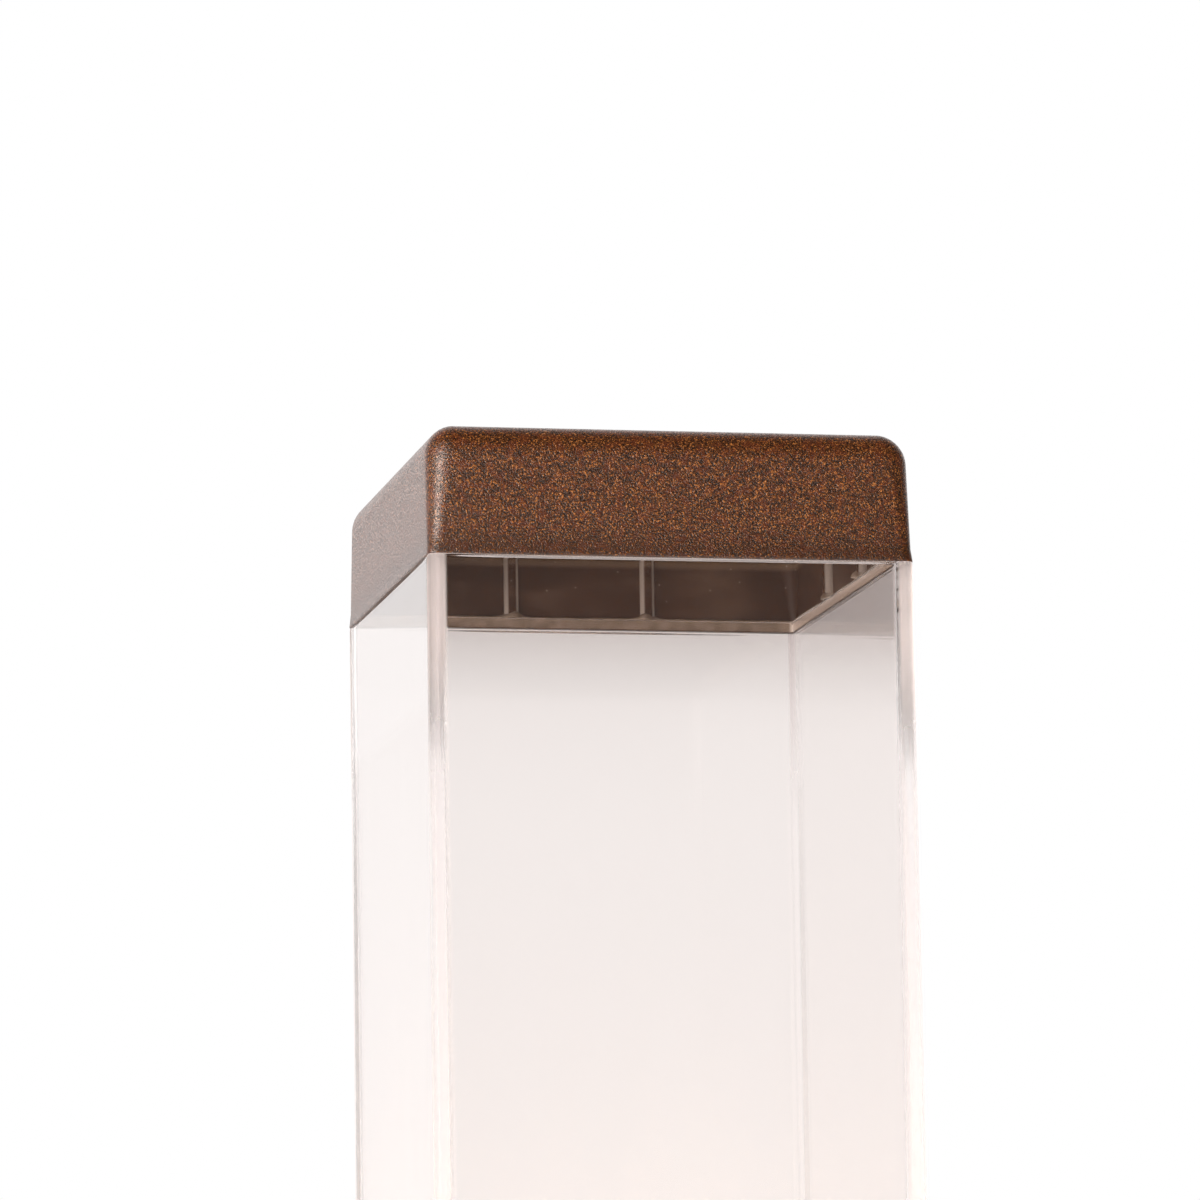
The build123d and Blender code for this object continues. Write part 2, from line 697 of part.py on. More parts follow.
with BuildPart() as canopy_gasket:
    with BuildSketch(facing_wall(0)):
        RectangleRounded(canopy_width, canopy_height, canopy_corner)
        RectangleRounded(
            canopy_width - 2 * canopy_wall,
            canopy_height - 2 * canopy_wall,
            canopy_corner - canopy_wall,
            mode=Mode.SUBTRACT,
        )
    extrude(amount=canopy_seal)
keep(canopy_gasket, "canopy_gasket")

with BuildPart() as neck_bolts:
    with Locations(facing_room(canopy_inner_face)):
        with GridLocations(neck_boss_spacing, 0, 2, 1):
            add(hexagon_screw(*neck_bolt))
keep(neck_bolts, "neck_bolts")

# Wall bracket: a bent plate with two slots for the wall screws and two ears for the canopy
with BuildPart() as wall_bracket:
    with BuildSketch(facing_wall(0)):
        Rectangle(2 * ear_face, bracket_arm_height)
        RectangleRounded(bracket_spine_width, bracket_spine_length, bracket_corner)
        Circle(cable_hole_diameter / 2, mode=Mode.SUBTRACT)
        with GridLocations(wall_screw_spacing, 0, 2, 1):
            SlotOverall(wall_slot_length, wall_slot_width, mode=Mode.SUBTRACT)
        with Locations((0, block_level)):
            with GridLocations(block_screw_spacing, 0, 2, 1):
                Circle(hole_radius(block_screw), mode=Mode.SUBTRACT)
    extrude(amount=bracket_thickness)
    for side in (-1, 1):
        with BuildSketch(Plane.YZ.offset(side * ear_face)):
            with Locations((-bracket_ear_depth / 2, 0)):
                RectangleRounded(bracket_ear_depth, bracket_ear_height, bracket_ear_corner)
            with Locations((-bracket_thickness, 0)):
                Rectangle(2 * bracket_thickness, bracket_ear_height)
            with Locations((-side_screw_depth, 0)):
                Circle(hole_radius(side_screw), mode=Mode.SUBTRACT)
        extrude(amount=-side * bracket_thickness)
keep(wall_bracket, "wall_bracket")

with BuildPart() as canopy_screws:
    for side in (-1, 1):
        with Locations(Plane(origin=(side * canopy_width / 2, -side_screw_depth, 0), z_dir=(side, 0, 0))):
            add(socket_screw(*side_screw))
keep(canopy_screws, "canopy_screws")

# Bushes: one where the supply cable comes through the bracket, one for the lamp's own wires
with BuildPart() as cable_bush:
    with BuildSketch(facing_wall(0)):
        Circle(cable_hole_diameter / 2 - bush_gap)
    extrude(amount=bracket_thickness)
    with BuildSketch(facing_wall(bracket_thickness)):
        Circle(cable_hole_diameter / 2 + bush_lip)
    extrude(amount=bush_lip_thickness)
    chamfer(cable_bush.edges().sort_by(Axis.Y)[0], bush_lip_thickness / 2)
    with BuildSketch(facing_wall(0)):
        Circle(cable_diameter / 2)
    extrude(amount=bracket_thickness + bush_lip_thickness, mode=Mode.SUBTRACT)
keep(cable_bush, "cable_bush")

with BuildPart() as wire_bush:
    with BuildSketch(facing_wall(canopy_inner_face - bush_lip_thickness)):
        with Locations((0, wire_way_level)):
            Circle(wire_way_diameter / 2 + bush_lip)
    extrude(amount=bush_lip_thickness)
    with BuildSketch(facing_wall(canopy_inner_face)):
        with Locations((0, wire_way_level)):
            Circle(wire_way_diameter / 2 - bush_gap)
    extrude(amount=canopy_wall)
    with BuildSketch(facing_wall(canopy_front)):
        with Locations((0, wire_way_level)):
            Circle(wire_way_diameter / 2 + bush_lip)
    extrude(amount=bush_lip_thickness)
    with BuildSketch(facing_wall(canopy_inner_face - bush_lip_thickness)):
        with Locations((0, wire_way_level)):
            Circle(wire_bush_bore / 2)
    extrude(amount=canopy_wall + 2 * bush_lip_thickness, mode=Mode.SUBTRACT)
keep(wire_bush, "wire_bush")

# Terminal block on the bracket: three through bores, with the supply side up and the lamp side down
with BuildPart() as terminal_block:
    with BuildSketch(facing_wall(bracket_thickness)):
        with Locations((0, block_level)):
            RectangleRounded(pole_pitch * pole_count, block_height, block_corner)
    extrude(amount=block_depth)
    with BuildSketch(Plane.XY.offset(block_bottom)):
        with Locations((0, -block_middle)):
            with GridLocations(pole_pitch, 0, pole_count, 1):
                Circle(block_bore_diameter / 2)
    extrude(amount=block_height, mode=Mode.SUBTRACT)
    with BuildSketch(facing_wall(block_front)):
        with Locations((0, block_level)):
            with GridLocations(pole_pitch, pole_screw_spacing, pole_count, 2):
                Circle(hole_radius(pole_screw))
    extrude(amount=block_middle - block_front, mode=Mode.SUBTRACT)
    with BuildSketch(facing_wall(block_front)):
        with Locations((0, block_level)):
            with GridLocations(block_screw_spacing, 0, 2, 1):
                Circle(block_screw[2] / 2 + hole_clearance)
    extrude(amount=-block_recess, mode=Mode.SUBTRACT)
    with BuildSketch(facing_wall(bracket_thickness)):
        with Locations((0, block_level)):
            with GridLocations(block_screw_spacing, 0, 2, 1):
                Circle(hole_radius(block_screw))
    extrude(amount=block_depth, mode=Mode.SUBTRACT)
keep(terminal_block, "terminal_block")

with BuildPart() as block_screws:
    with Locations(facing_wall(block_front - block_recess)):
        with Locations((0, block_level)):
            with GridLocations(block_screw_spacing, 0, 2, 1):
                add(socket_screw(*block_screw))
keep(block_screws, "block_screws")

with BuildPart() as pole_screws:
    with Locations(facing_wall(block_front - pole_recess)):
        with Locations((0, block_level)):
            with GridLocations(pole_pitch, pole_screw_spacing, pole_count, 2):
                add(headless_screw(*pole_screw))
keep(pole_screws, "pole_screws")

# Earth screw and its ring terminal, on the canopy's post
with BuildPart() as earth_lug:
    with BuildSketch(facing_wall(earth_post_end - earth_lug_thickness)):
        with Locations((earth_place_x, earth_place_z)):
            Circle(earth_lug_diameter / 2)
        with Locations((earth_place_x, earth_place_z + earth_lug_diameter / 2)):
            Rectangle(earth_barrel_diameter, earth_lug_diameter)
        with Locations((earth_place_x, earth_place_z)):
            Circle(hole_radius(earth_screw), mode=Mode.SUBTRACT)
    extrude(amount=earth_lug_thickness)
    with BuildSketch(Plane.XY.offset(earth_barrel_foot)):
        with Locations((earth_place_x, -earth_wire_depth)):
            Circle(earth_barrel_diameter / 2)
            Circle(wire_diameter / 2 + hole_clearance, mode=Mode.SUBTRACT)
    extrude(amount=earth_barrel_length)
keep(earth_lug, "earth_lug")

with BuildPart() as earth_screws:
    with Locations(facing_room(earth_post_end - earth_lug_thickness)):
        with Locations((earth_place_x, -earth_place_z)):
            add(hexagon_screw(*earth_screw))
keep(earth_screws, "earth_screws")

# The lamp's own wires, from the block through the bush and the neck up to the lampholder
wire_start = block_bottom + wire_entry
wire_low = (floor_top + tray_bottom) / 2 - wire_sag
for name, pole_x, side in (("wire_live", -pole_pitch, -1), ("wire_neutral", 0, 1)):
    pair_x = side * wire_pair_spacing / 2
    holder_x = side * holder_wire_spacing / 2
    lamp_route = [
        (pole_x, -block_middle, wire_start),
        (pole_x, -block_middle, block_bottom - wire_drop),
        (pair_x, -wire_depth, wire_way_level),
        (pair_x, -wall_gap - base_wall - wire_landing, wire_way_level),
        (holder_x, lamp_y + wire_turn, wire_low),
        (holder_x, lamp_y, wire_low - wire_dip),
        (holder_x, lamp_y, holder_bottom + holder_wire_depth - wire_pocket_gap),
    ]
    make_wire(name, lamp_route, lamp_wire_bends)

# The earth wire, from the block's third pole to the lug on the canopy
earth_route = [
    (pole_pitch, -block_middle, wire_start),
    (pole_pitch, -block_middle, block_bottom - wire_drop),
    (earth_place_x, -earth_wire_depth, earth_barrel_foot + earth_barrel_length + earth_wire_drop),
    (earth_place_x, -earth_wire_depth, earth_barrel_foot + hole_clearance),
]
make_wire("wire_earth", earth_route, earth_wire_bends)
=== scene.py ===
# %% [markdown]
# # Outdoor wall lamp with a clear square shade
#
# A clear box stands on a cast base and wears a powder-coated cap. Inside are a screw-in bulb and
# its holder, and behind is a canopy that closes against the wall. The sizes, the places and the
# joints come from a finished construction model, which this script loads and never moves. What is
# made here is how every surface looks, and the forms that show best: the cap, the clear walls, the
# sealing bead, the threads and the screws.

# %% Load the construction model
from math import cos, pi, radians, sin, tau

import bmesh
import bpy
import numpy as np
from mathutils import Matrix, Vector


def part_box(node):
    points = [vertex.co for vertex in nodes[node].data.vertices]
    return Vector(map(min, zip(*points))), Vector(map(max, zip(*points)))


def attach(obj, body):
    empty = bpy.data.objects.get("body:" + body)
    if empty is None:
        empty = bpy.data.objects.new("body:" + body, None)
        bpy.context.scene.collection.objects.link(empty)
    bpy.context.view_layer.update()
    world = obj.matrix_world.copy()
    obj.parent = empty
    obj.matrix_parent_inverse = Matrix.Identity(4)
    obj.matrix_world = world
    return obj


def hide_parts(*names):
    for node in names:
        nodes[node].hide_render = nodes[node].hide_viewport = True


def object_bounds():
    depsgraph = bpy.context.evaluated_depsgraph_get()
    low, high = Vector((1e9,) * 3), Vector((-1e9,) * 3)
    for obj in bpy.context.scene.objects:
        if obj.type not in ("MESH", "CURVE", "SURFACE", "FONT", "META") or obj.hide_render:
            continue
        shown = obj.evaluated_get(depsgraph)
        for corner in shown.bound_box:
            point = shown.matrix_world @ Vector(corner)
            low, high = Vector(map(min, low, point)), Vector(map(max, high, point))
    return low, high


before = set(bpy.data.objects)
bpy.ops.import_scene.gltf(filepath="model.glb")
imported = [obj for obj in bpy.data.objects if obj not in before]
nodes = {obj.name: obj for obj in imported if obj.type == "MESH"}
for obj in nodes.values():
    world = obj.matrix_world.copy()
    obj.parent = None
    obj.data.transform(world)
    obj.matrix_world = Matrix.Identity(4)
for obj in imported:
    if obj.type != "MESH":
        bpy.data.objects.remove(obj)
cad_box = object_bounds()
MM = 0.001
LAMP_AXIS_Y = (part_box("top_cap")[0].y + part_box("top_cap")[1].y) / 2
AXIS_Y_MM = LAMP_AXIS_Y / MM

# %% [markdown]
# ## The camera
#
# Straight edges in a photograph meet at its vanishing points. Fitted to the lamp's upright and level
# edges, they give a long lens that stands low in front, a little to the left, and looks up. The
# camera is turned about its own axes in the order yaw, pitch, roll, so each number stays readable.
#
# The walls of the clear box guide light as a fibre does: a ray that enters near a corner bounces
# along inside the wall many times. Cut off too early, it would leave a black line, so light may turn
# more often than usual.

# %% Camera
CAMERA_PLACE = Vector((-273.72, -1397.03, 42.57)) * MM
CAMERA_YAW = radians(11.583)
CAMERA_PITCH = radians(9.152)
CAMERA_ROLL = radians(-0.895)
LENS = 194.6
SENSOR = 36.0

camera = bpy.data.objects.new("camera", bpy.data.cameras.new("camera"))
bpy.context.scene.collection.objects.link(camera)
camera.data.lens = LENS
camera.data.sensor_width = SENSOR
turn = Matrix.Rotation(-CAMERA_YAW, 4, "Z") @ Matrix.Rotation(pi / 2 + CAMERA_PITCH, 4, "X")
camera.matrix_world = Matrix.Translation(CAMERA_PLACE) @ turn @ Matrix.Rotation(CAMERA_ROLL, 4, "Z")
bpy.context.scene.camera = camera
bpy.context.scene.view_settings.view_transform = "Standard"
light_paths = bpy.context.scene.cycles
light_paths.max_bounces = 40
light_paths.glossy_bounces = 32
light_paths.transmission_bounces = 32
print("lens", LENS, "mm at", round(CAMERA_PLACE.length, 3), "m from the wall screws")

# %% [markdown]
# ## Node trees as formulas
#
# A mask such as "darker where the noise is low" is a sum, and a tree of Math nodes hides it. Value
# wraps one output socket and turns arithmetic into Math nodes, also with the number first, so that
# `1 - mask` works. Graph.add makes every other node. It applies the settings first, because some of
# them change the sockets, and then gives the sockets values or links. Shaders and Geometry Nodes
# share it, and most kinds of node are named without their family, ShaderNode or GeometryNode.

# %% Value and Graph
def arithmetic(operation, swapped=False):
    """A method that adds one Math node. Swapped is for a number that comes first."""
    def apply(self, other):
        first, second = (other, self) if swapped else (self, other)
        return self.graph.math(operation, first, second)
    return apply


class Value:
    """One output socket. Arithmetic on it adds Math nodes to its graph."""

    def __init__(self, graph, socket):
        self.graph = graph
        self.socket = socket

    def of(self, name):
        """Another output of the same node."""
        return Value(self.graph, self.socket.node.outputs[name])

    __add__ = arithmetic("ADD")
    __radd__ = arithmetic("ADD", swapped=True)
    __sub__ = arithmetic("SUBTRACT")
    __rsub__ = arithmetic("SUBTRACT", swapped=True)
    __mul__ = arithmetic("MULTIPLY")
    __rmul__ = arithmetic("MULTIPLY", swapped=True)
    __truediv__ = arithmetic("DIVIDE")
    __pow__ = arithmetic("POWER")
    at_least = arithmetic("MAXIMUM")
    at_most = arithmetic("MINIMUM")

    def __abs__(self):
        return self.graph.math("ABSOLUTE", self, 0.0)

    def rise(self, start, end):
        """0 before start and 1 after end, with a smooth climb between."""
        limits = {"Value": self, "From Min": start, "From Max": end}
        return self.graph.add("ShaderNodeMapRange", limits, interpolation_type="SMOOTHSTEP")


class Graph:
    """A node tree that is written from the values up."""

    def __init__(self, tree):
        self.tree = tree
        self.family = "ShaderNode" if tree.type == "SHADER" else "GeometryNode"

    def plug(self, socket, value):
        if isinstance(value, Value):
            self.tree.links.new(value.socket, socket)
        else:
            socket.default_value = value

    def add(self, kind, inputs=None, out=0, **settings):
        """The output of a new node. One without any output comes back itself."""
        node = self.tree.nodes.new(kind if "Node" in kind else self.family + kind)
        for name, value in settings.items():
            if name == "stops":
                set_stops(node.color_ramp, value)
            else:
                setattr(node, name, value)
        for socket, value in (inputs or {}).items():
            self.plug(node.inputs[socket], value)
        return Value(self, node.outputs[out]) if node.outputs else node

    def mix(self, mask, first, second):
        """The first colour where the mask is 0 and the second where it is 1."""
        colours = {0: mask, 6: shade(first), 7: shade(second)}
        return self.add("ShaderNodeMix", colours, out=2, data_type="RGBA")

    def math(self, operation, first, second):
        return self.add("ShaderNodeMath", {0: first, 1: second}, operation=operation)


def set_stops(ramp, stops):
    """Fills a colour ramp from (place, colour) pairs."""
    while len(ramp.elements) < len(stops):
        ramp.elements.new(1.0)
    for element, (place, colour) in zip(ramp.elements, stops):
        element.position = place
        element.color = (*colour, 1.0)


def shade(colour):
    """A colour for a socket: a link stays, and three numbers get their fourth."""
    return colour if isinstance(colour, Value) else (*colour, 1.0)


print("Value and Graph are ready")

# %% [markdown]
# ## Finishes in general
#
# Each finish is a material with one Principled shader. What is the same all over is set on the
# shader's own sockets. What changes over the surface is a pattern in millimetres of the lamp itself,
# read from Object coordinates, which are the lamp's because no piece is moved or scaled.

# %% Finish
class Finish(Graph):
    """A material with one Principled shader, and patterns measured in millimetres."""

    def __init__(self, name, **sockets):
        self.material = bpy.data.materials.new(name)
        self.material.use_nodes = True
        super().__init__(self.material.node_tree)
        self.tree.nodes.clear()
        self.output = self.tree.nodes.new("ShaderNodeOutputMaterial")
        self.shader = self.add("BsdfPrincipled")
        self.inputs = self.shader.socket.node.inputs
        for socket, value in sockets.items():
            self.set(socket.replace("_", " "), value)
        self.show(self.shader)
        place = self.add("TexCoord").of("Object")
        self.place = self.add("VectorMath", {0: place, "Scale": 1 / MM}, operation="SCALE")

    def set(self, socket, value):
        self.plug(self.inputs[socket], value)

    def show(self, shader):
        self.plug(self.output.inputs["Surface"], shader)

    def height(self):
        """The height over the wall screws, in millimetres."""
        return self.add("SeparateXYZ", {0: self.place}, out="Z")

    def off_axis(self):
        """How far a point is from the lamp's two middle planes, in millimetres."""
        place = self.add("SeparateXYZ", {0: self.place})
        return abs(place.of("X")), abs(place.of("Y") - AXIS_Y_MM)

    def noise(self, per_mm, detail=2.0, roughness=0.5, stretch=(1.0, 1.0, 1.0)):
        """A noise whose place is first multiplied by stretch: it runs along an axis with a low number."""
        place = self.add("VectorMath", {0: self.place, 1: stretch}, operation="MULTIPLY")
        sizes = {"Vector": place, "Scale": per_mm, "Detail": detail, "Roughness": roughness}
        return self.add("TexNoise", sizes, noise_dimensions="3D")

    def cells(self, per_mm):
        return self.add("TexVoronoi", {"Vector": self.place, "Scale": per_mm})

    def ramp(self, value, *stops):
        return self.add("ValToRGB", {0: value}, stops=stops)

    def bump(self, height, depth_mm, strength=1.0):
        sizes = {"Height": height, "Distance": depth_mm * MM, "Strength": strength}
        self.set("Normal", self.add("Bump", sizes))


print("finishes are measured in millimetres")

# %% [markdown]
# ## Powder coat
#
# The cap, the base, the neck and the canopy are coated in a textured rust brown. Close up the coat is
# a fine relief of about half a millimetre. One noise gives the relief, the gloss and the colour,
# through a ramp from pit to tip: the pits are painted nearly black as shade, the slopes brown, and
# the tips pale as painted highlights. A slower noise turns patches of it redder, and along the cap's
# lip painted shade makes it darker.

# %% Powder coat
cap_low, cap_high = (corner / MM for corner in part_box("top_cap"))
RELIEF_PER_MM = 2.8
COAT_PAINTED_SHADE = (0.014, 0.004, 0.001)
COAT_BROWN = (0.090, 0.023, 0.001)
COAT_PAINTED_HIGHLIGHT = (0.560, 0.195, 0.035)
COAT_RED = (0.165, 0.026, 0.002)
LIP_FADE = (1.5, 7.0)
ROOF_LIGHT_HEIGHTS = (272.2, 273.4)


def powder_coat():
    coat = Finish("powder_coat", IOR=1.8, Coat_Roughness=0.22)
    relief = coat.noise(RELIEF_PER_MM, roughness=0.65)
    # The ramp paints the pits nearly black as shade and the tips pale as highlights.
    tone = coat.ramp(relief, (0.41, COAT_PAINTED_SHADE), (0.51, COAT_BROWN), (0.57, COAT_BROWN), (0.69, COAT_PAINTED_HIGHLIGHT))
    rusty = coat.noise(0.5).rise(0.48, 0.62)
    tone = coat.mix(0.3 * rusty, tone, COAT_RED)
    over_foot = coat.height() - cap_low.z
    # Painted shade: the coat is painted darker along the cap's lip.
    lip = over_foot.rise(-1.0, 0.0) * (1 - over_foot.rise(*LIP_FADE))
    coat.set("Base Color", coat.mix(0.35 * lip, tone, COAT_PAINTED_SHADE))
    coat.bump(relief, 0.22)
    coat.set("Roughness", 0.42 - 0.25 * relief)
    coat.set("Coat Weight", 0.8 * relief.rise(0.38, 0.62))
    return coat.material


def cap_lining(name, edge_highlight):
    """The cap's inside, where only a thin, smoother mist of the coat has landed, with a lighter band near
    the roof that is painted light.

    edge_highlight is how strongly lighter lines are painted along both edges of each rib as highlights; it
    also makes them a little glossier."""
    lining = Finish(name, IOR=1.45, Specular_IOR_Level=0.35)
    mist = lining.noise(2.4, detail=3.0)
    swirl = lining.noise(0.05, detail=3.0, stretch=(1.0, 1.0, 2.5))
    dull = lining.ramp(mist, (0.3, (0.052, 0.023, 0.011)), (0.7, (0.094, 0.043, 0.022)))
    dust_and_roof_light = lining.mix(0.6 * swirl.rise(0.45, 0.75), dull, (0.200, 0.130, 0.088))
    # A lighter band near the roof is painted light, as a roof fillet would catch from below.
    painted_roof_light = lining.height().rise(*ROOF_LIGHT_HEIGHTS)
    dust_and_roof_light = lining.mix(0.6 * painted_roof_light, dust_and_roof_light, (0.270, 0.190, 0.130))
    specks = 1 - lining.cells(0.42).rise(0.05, 0.10)
    tone = lining.mix(0.5 * specks, dust_and_roof_light, (0.60, 0.52, 0.45))
    # Lighter lines along both edges of each rib are painted highlights.
    if edge_highlight:
        across, deep = lining.off_axis()
        off_middle = abs(across.at_most(deep) - RIB_SPACING / 2)
        painted_edge_highlight = off_middle.rise(0.40 * RIB_RADIUS, 0.70 * RIB_RADIUS)
        tone = lining.mix(edge_highlight * painted_edge_highlight, tone, (0.62, 0.57, 0.52))
    lining.set("Base Color", tone)
    lining.set("Roughness", 0.22 + 0.2 * swirl - 0.1 * edge_highlight)
    lining.bump(mist, 0.02, 0.6)
    return lining.material


RIB_RADIUS = 1.6
RIB_SPACING = 30.0
POWDER_COAT = powder_coat()
CAP_LINING = cap_lining("cap_lining", 0.0)
RIB_LINING = cap_lining("rib_lining", 0.8)
print("relief of", round(1 / RELIEF_PER_MM, 2), "mm")

# %% [markdown]
# ## Clear plastic and sealant
#
# The walls are real: 3 to 4 mm thick, with an inner and an outer face, so light bends at each face.
# Three shaders are mixed. The Principled one carries the glass-like part; on the front wall its
# colour is painted darker towards the cap, as painted shade under the cap. A few per cent of a
# translucent one is the haze of moulded plastic, which the bulb fills with warm light from below. In
# the four corners, where the melt cools last, there is more of it, most of all under the cap, and
# lower down a transparent one too. They blur what lies behind into one pale line, where a perfect
# edge would break it up into black and white streaks.
#
# For shadow rays the wall is simply open, or every lamp's light would stop at it. Long, faint ripples
# along the flow of the melt bend what is seen through it a little.

# %% Clear plastic and sealant
HAZE_LOW = 0.035
HAZE_HIGH = 0.006
CORNER_CLEAR = 0.8
EDGE_MILK = 0.6
TOP_MILK = 0.95
MILK_TINT = (1.00, 0.935, 0.935)
CORNER_TINT = (0.995, 0.975, 0.968)
BORE_TOP_SIDE = 93.8
BORE_BOTTOM_SIDE = 91.6
SHADE_TINT = (0.962, 0.930, 0.918)
CAP_SHADE_TINT = (0.440, 0.375, 0.355)
# Heights, and distances from the lamp's middle planes, between which a mask climbs.
CAP_SHADE_HEIGHTS = (212.0, 250.0)
HAZE_HEIGHTS = (118.0, 245.0)
MILKY_HEIGHTS = (216.0, 246.0)
GLOSSY_HEIGHTS = (226.0, 232.0)
CORNER_ZONE = (46.2, 47.4)
EDGE_ZONE = (46.2, 47.2)
OUTER_FACES = (48.4, 49.0)
SIDE_FACES = (48.6, 49.2)
SIDE_ENDS = (46.5, 47.5)

shade_low, shade_high = (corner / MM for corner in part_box("clear_shade"))
BORE_TAPER = (BORE_TOP_SIDE - BORE_BOTTOM_SIDE) / 2 / (shade_high.z - shade_low.z)
BORE_AT_ZERO = BORE_BOTTOM_SIDE / 2 - BORE_TAPER * shade_low.z


def let_light_through(finish, shader):
    """The shader, but open to the rays that look for lamps."""
    path = finish.add("LightPath").of("Is Shadow Ray")
    open_way = finish.add("BsdfTransparent")
    return finish.add("MixShader", {0: path, 1: shader, 2: open_way})


def clear_plastic():
    wall = Finish("clear_plastic", Roughness=0.0, IOR=1.49, Transmission_Weight=1.0)
    flow = wall.noise(0.11, stretch=(1.0, 1.0, 0.03))
    waves = wall.noise(0.035, detail=1.0)
    wall.bump(flow + 0.4 * waves, 0.012, 0.5)
    depth = wall.add("SeparateXYZ", {0: wall.place}, out="Y")
    height = wall.height()
    across, deep = wall.off_axis()
    less = across.at_most(deep)
    more = across.at_least(deep)

    front = 1 - depth.rise(shade_low.y + 0.8, shade_low.y + 1.6)
    # Painted shade: the front wall's colour darkens towards the cap.
    painted_cap_shade = front * height.rise(*CAP_SHADE_HEIGHTS) ** 2.4 * (1 - across.rise(*CORNER_ZONE))
    wall.set("Base Color", wall.mix(painted_cap_shade, SHADE_TINT, CAP_SHADE_TINT))
    side = across.rise(*SIDE_FACES) * (1 - deep.rise(*SIDE_ENDS))
    wall.set("Coat Weight", side * height.rise(*GLOSSY_HEIGHTS))

    cloud = wall.noise(0.09, detail=3.0, stretch=(1.0, 1.0, 0.25))
    low = 1 - height.rise(*HAZE_HEIGHTS)
    haze = (HAZE_HIGH + (HAZE_LOW - HAZE_HIGH) * low) * (0.6 + 0.8 * cloud)
    edge = less.rise(*EDGE_ZONE) * more.rise(*OUTER_FACES)
    near_cap = height.rise(*MILKY_HEIGHTS)
    strands = wall.noise(0.9, detail=1.0, stretch=(1.0, 1.0, 0.01)).rise(0.40, 0.60)
    edge_milk = (EDGE_MILK + (TOP_MILK - EDGE_MILK) * near_cap) * (0.86 + 0.14 * strands)
    milk = wall.add("BsdfTranslucent", {"Color": shade(MILK_TINT)})
    hazy = wall.add("MixShader", {0: haze.at_least(edge_milk * edge), 1: wall.shader, 2: milk})

    back = depth.rise(AXIS_Y_MM - 10, AXIS_Y_MM + 10)
    bore = height * BORE_TAPER + BORE_AT_ZERO
    inner_corner = (less - bore + 0.8 * back).rise(-1.1, -0.8) * (1 - (more - bore).rise(0.5, 0.9))
    clear = inner_corner.at_least(edge) * (1 - near_cap) * (CORNER_CLEAR + (1 - CORNER_CLEAR) * back)
    straight = wall.add("BsdfTransparent", {"Color": shade(CORNER_TINT)})
    hazy = wall.add("MixShader", {0: clear, 1: hazy, 2: straight})
    wall.show(let_light_through(wall, hazy))
    return wall.material


def clear_sealant():
    bead = Finish("clear_sealant", Roughness=0.15, IOR=1.41, Transmission_Weight=0.25)
    lumps = bead.noise(0.35, detail=1.0)
    tone = bead.ramp(lumps, (0.3, (0.28, 0.22, 0.16)), (0.7, (0.46, 0.37, 0.30)))
    # On the left and right sides the bead is painted paler, a painted reflection of its slanting view.
    painted_side_reflection = bead.off_axis()[0].rise(*CORNER_ZONE)
    bead.set("Base Color", bead.mix(painted_side_reflection, tone, (0.95, 0.90, 0.83)))
    bead.set("Roughness", 0.10 + 0.15 * lumps)
    bead.bump(lumps, 0.10, 0.4)
    bead.show(let_light_through(bead, bead.shader))
    return bead.material


CLEAR_PLASTIC = clear_plastic()
CLEAR_SEALANT = clear_sealant()
print("haze from", HAZE_HIGH, "under the cap to", HAZE_LOW, "by the bulb")

# %% [markdown]
# ## Metals, ceramic, rubber and moulded parts
#
# The parts inside are plainer, but each has what its real surface shows: zinc plating has soft
# crystals and rolling lines, turned brass has rings round its axis, unglazed ceramic has pits, and
# rubber has a fine bloom. They differ in a few numbers, so most come from two small functions.

# %% Metals
def metal(name, low, high, roughness, lines=(1.0, 1.0, 1.0), depth_mm=0.01):
    """Plain metal between two colours, with fine lines along its longest stretch."""
    plate = Finish(name, Metallic=1.0, Roughness=roughness)
    grain = plate.noise(1.5, detail=4.0, stretch=lines)
    crystal = plate.add("SeparateColor", {0: plate.cells(0.25).of("Color")})
    plate.set("Base Color", plate.ramp(grain * 0.75 + crystal * 0.25, (0.3, low), (0.75, high)))
    plate.set("Roughness", roughness - 0.06 + 0.16 * grain)
    plate.bump(grain, depth_mm, 0.5)
    return plate.material


def turned_metal(name, low, high, roughness):
    """Metal spun round the lamp's axis: rings and a little tarnish."""
    part = Finish(name, Metallic=1.0, Roughness=roughness)
    rings = part.noise(2.5, detail=3.0, stretch=(0.05, 0.05, 1.0))
    tarnish = part.noise(0.12, detail=3.0)
    bright = part.ramp(rings, (0.3, low), (0.7, high))
    part.set("Base Color", part.mix(0.35 * tarnish.rise(0.45, 0.75), bright, (0.30, 0.25, 0.18)))
    part.set("Roughness", roughness - 0.05 + 0.2 * tarnish)
    part.bump(rings, 0.01, 0.4)
    return part.material


ZINC = metal("zinc_plate", (0.47, 0.48, 0.47), (0.72, 0.73, 0.72), 0.34, (0.15, 1.0, 1.0))
STAINLESS = metal("stainless", (0.46, 0.45, 0.44), (0.66, 0.65, 0.63), 0.26, (1.0, 1.0, 0.3))
TINNED = metal("tinned_copper", (0.60, 0.57, 0.52), (0.80, 0.77, 0.72), 0.30)
BRONZE = metal("contact_bronze", (0.50, 0.29, 0.13), (0.76, 0.50, 0.25), 0.24, (1.0, 0.2, 1.0))
NICKEL = turned_metal("nickel", (0.56, 0.53, 0.48), (0.76, 0.73, 0.67), 0.20)
print("five metals")

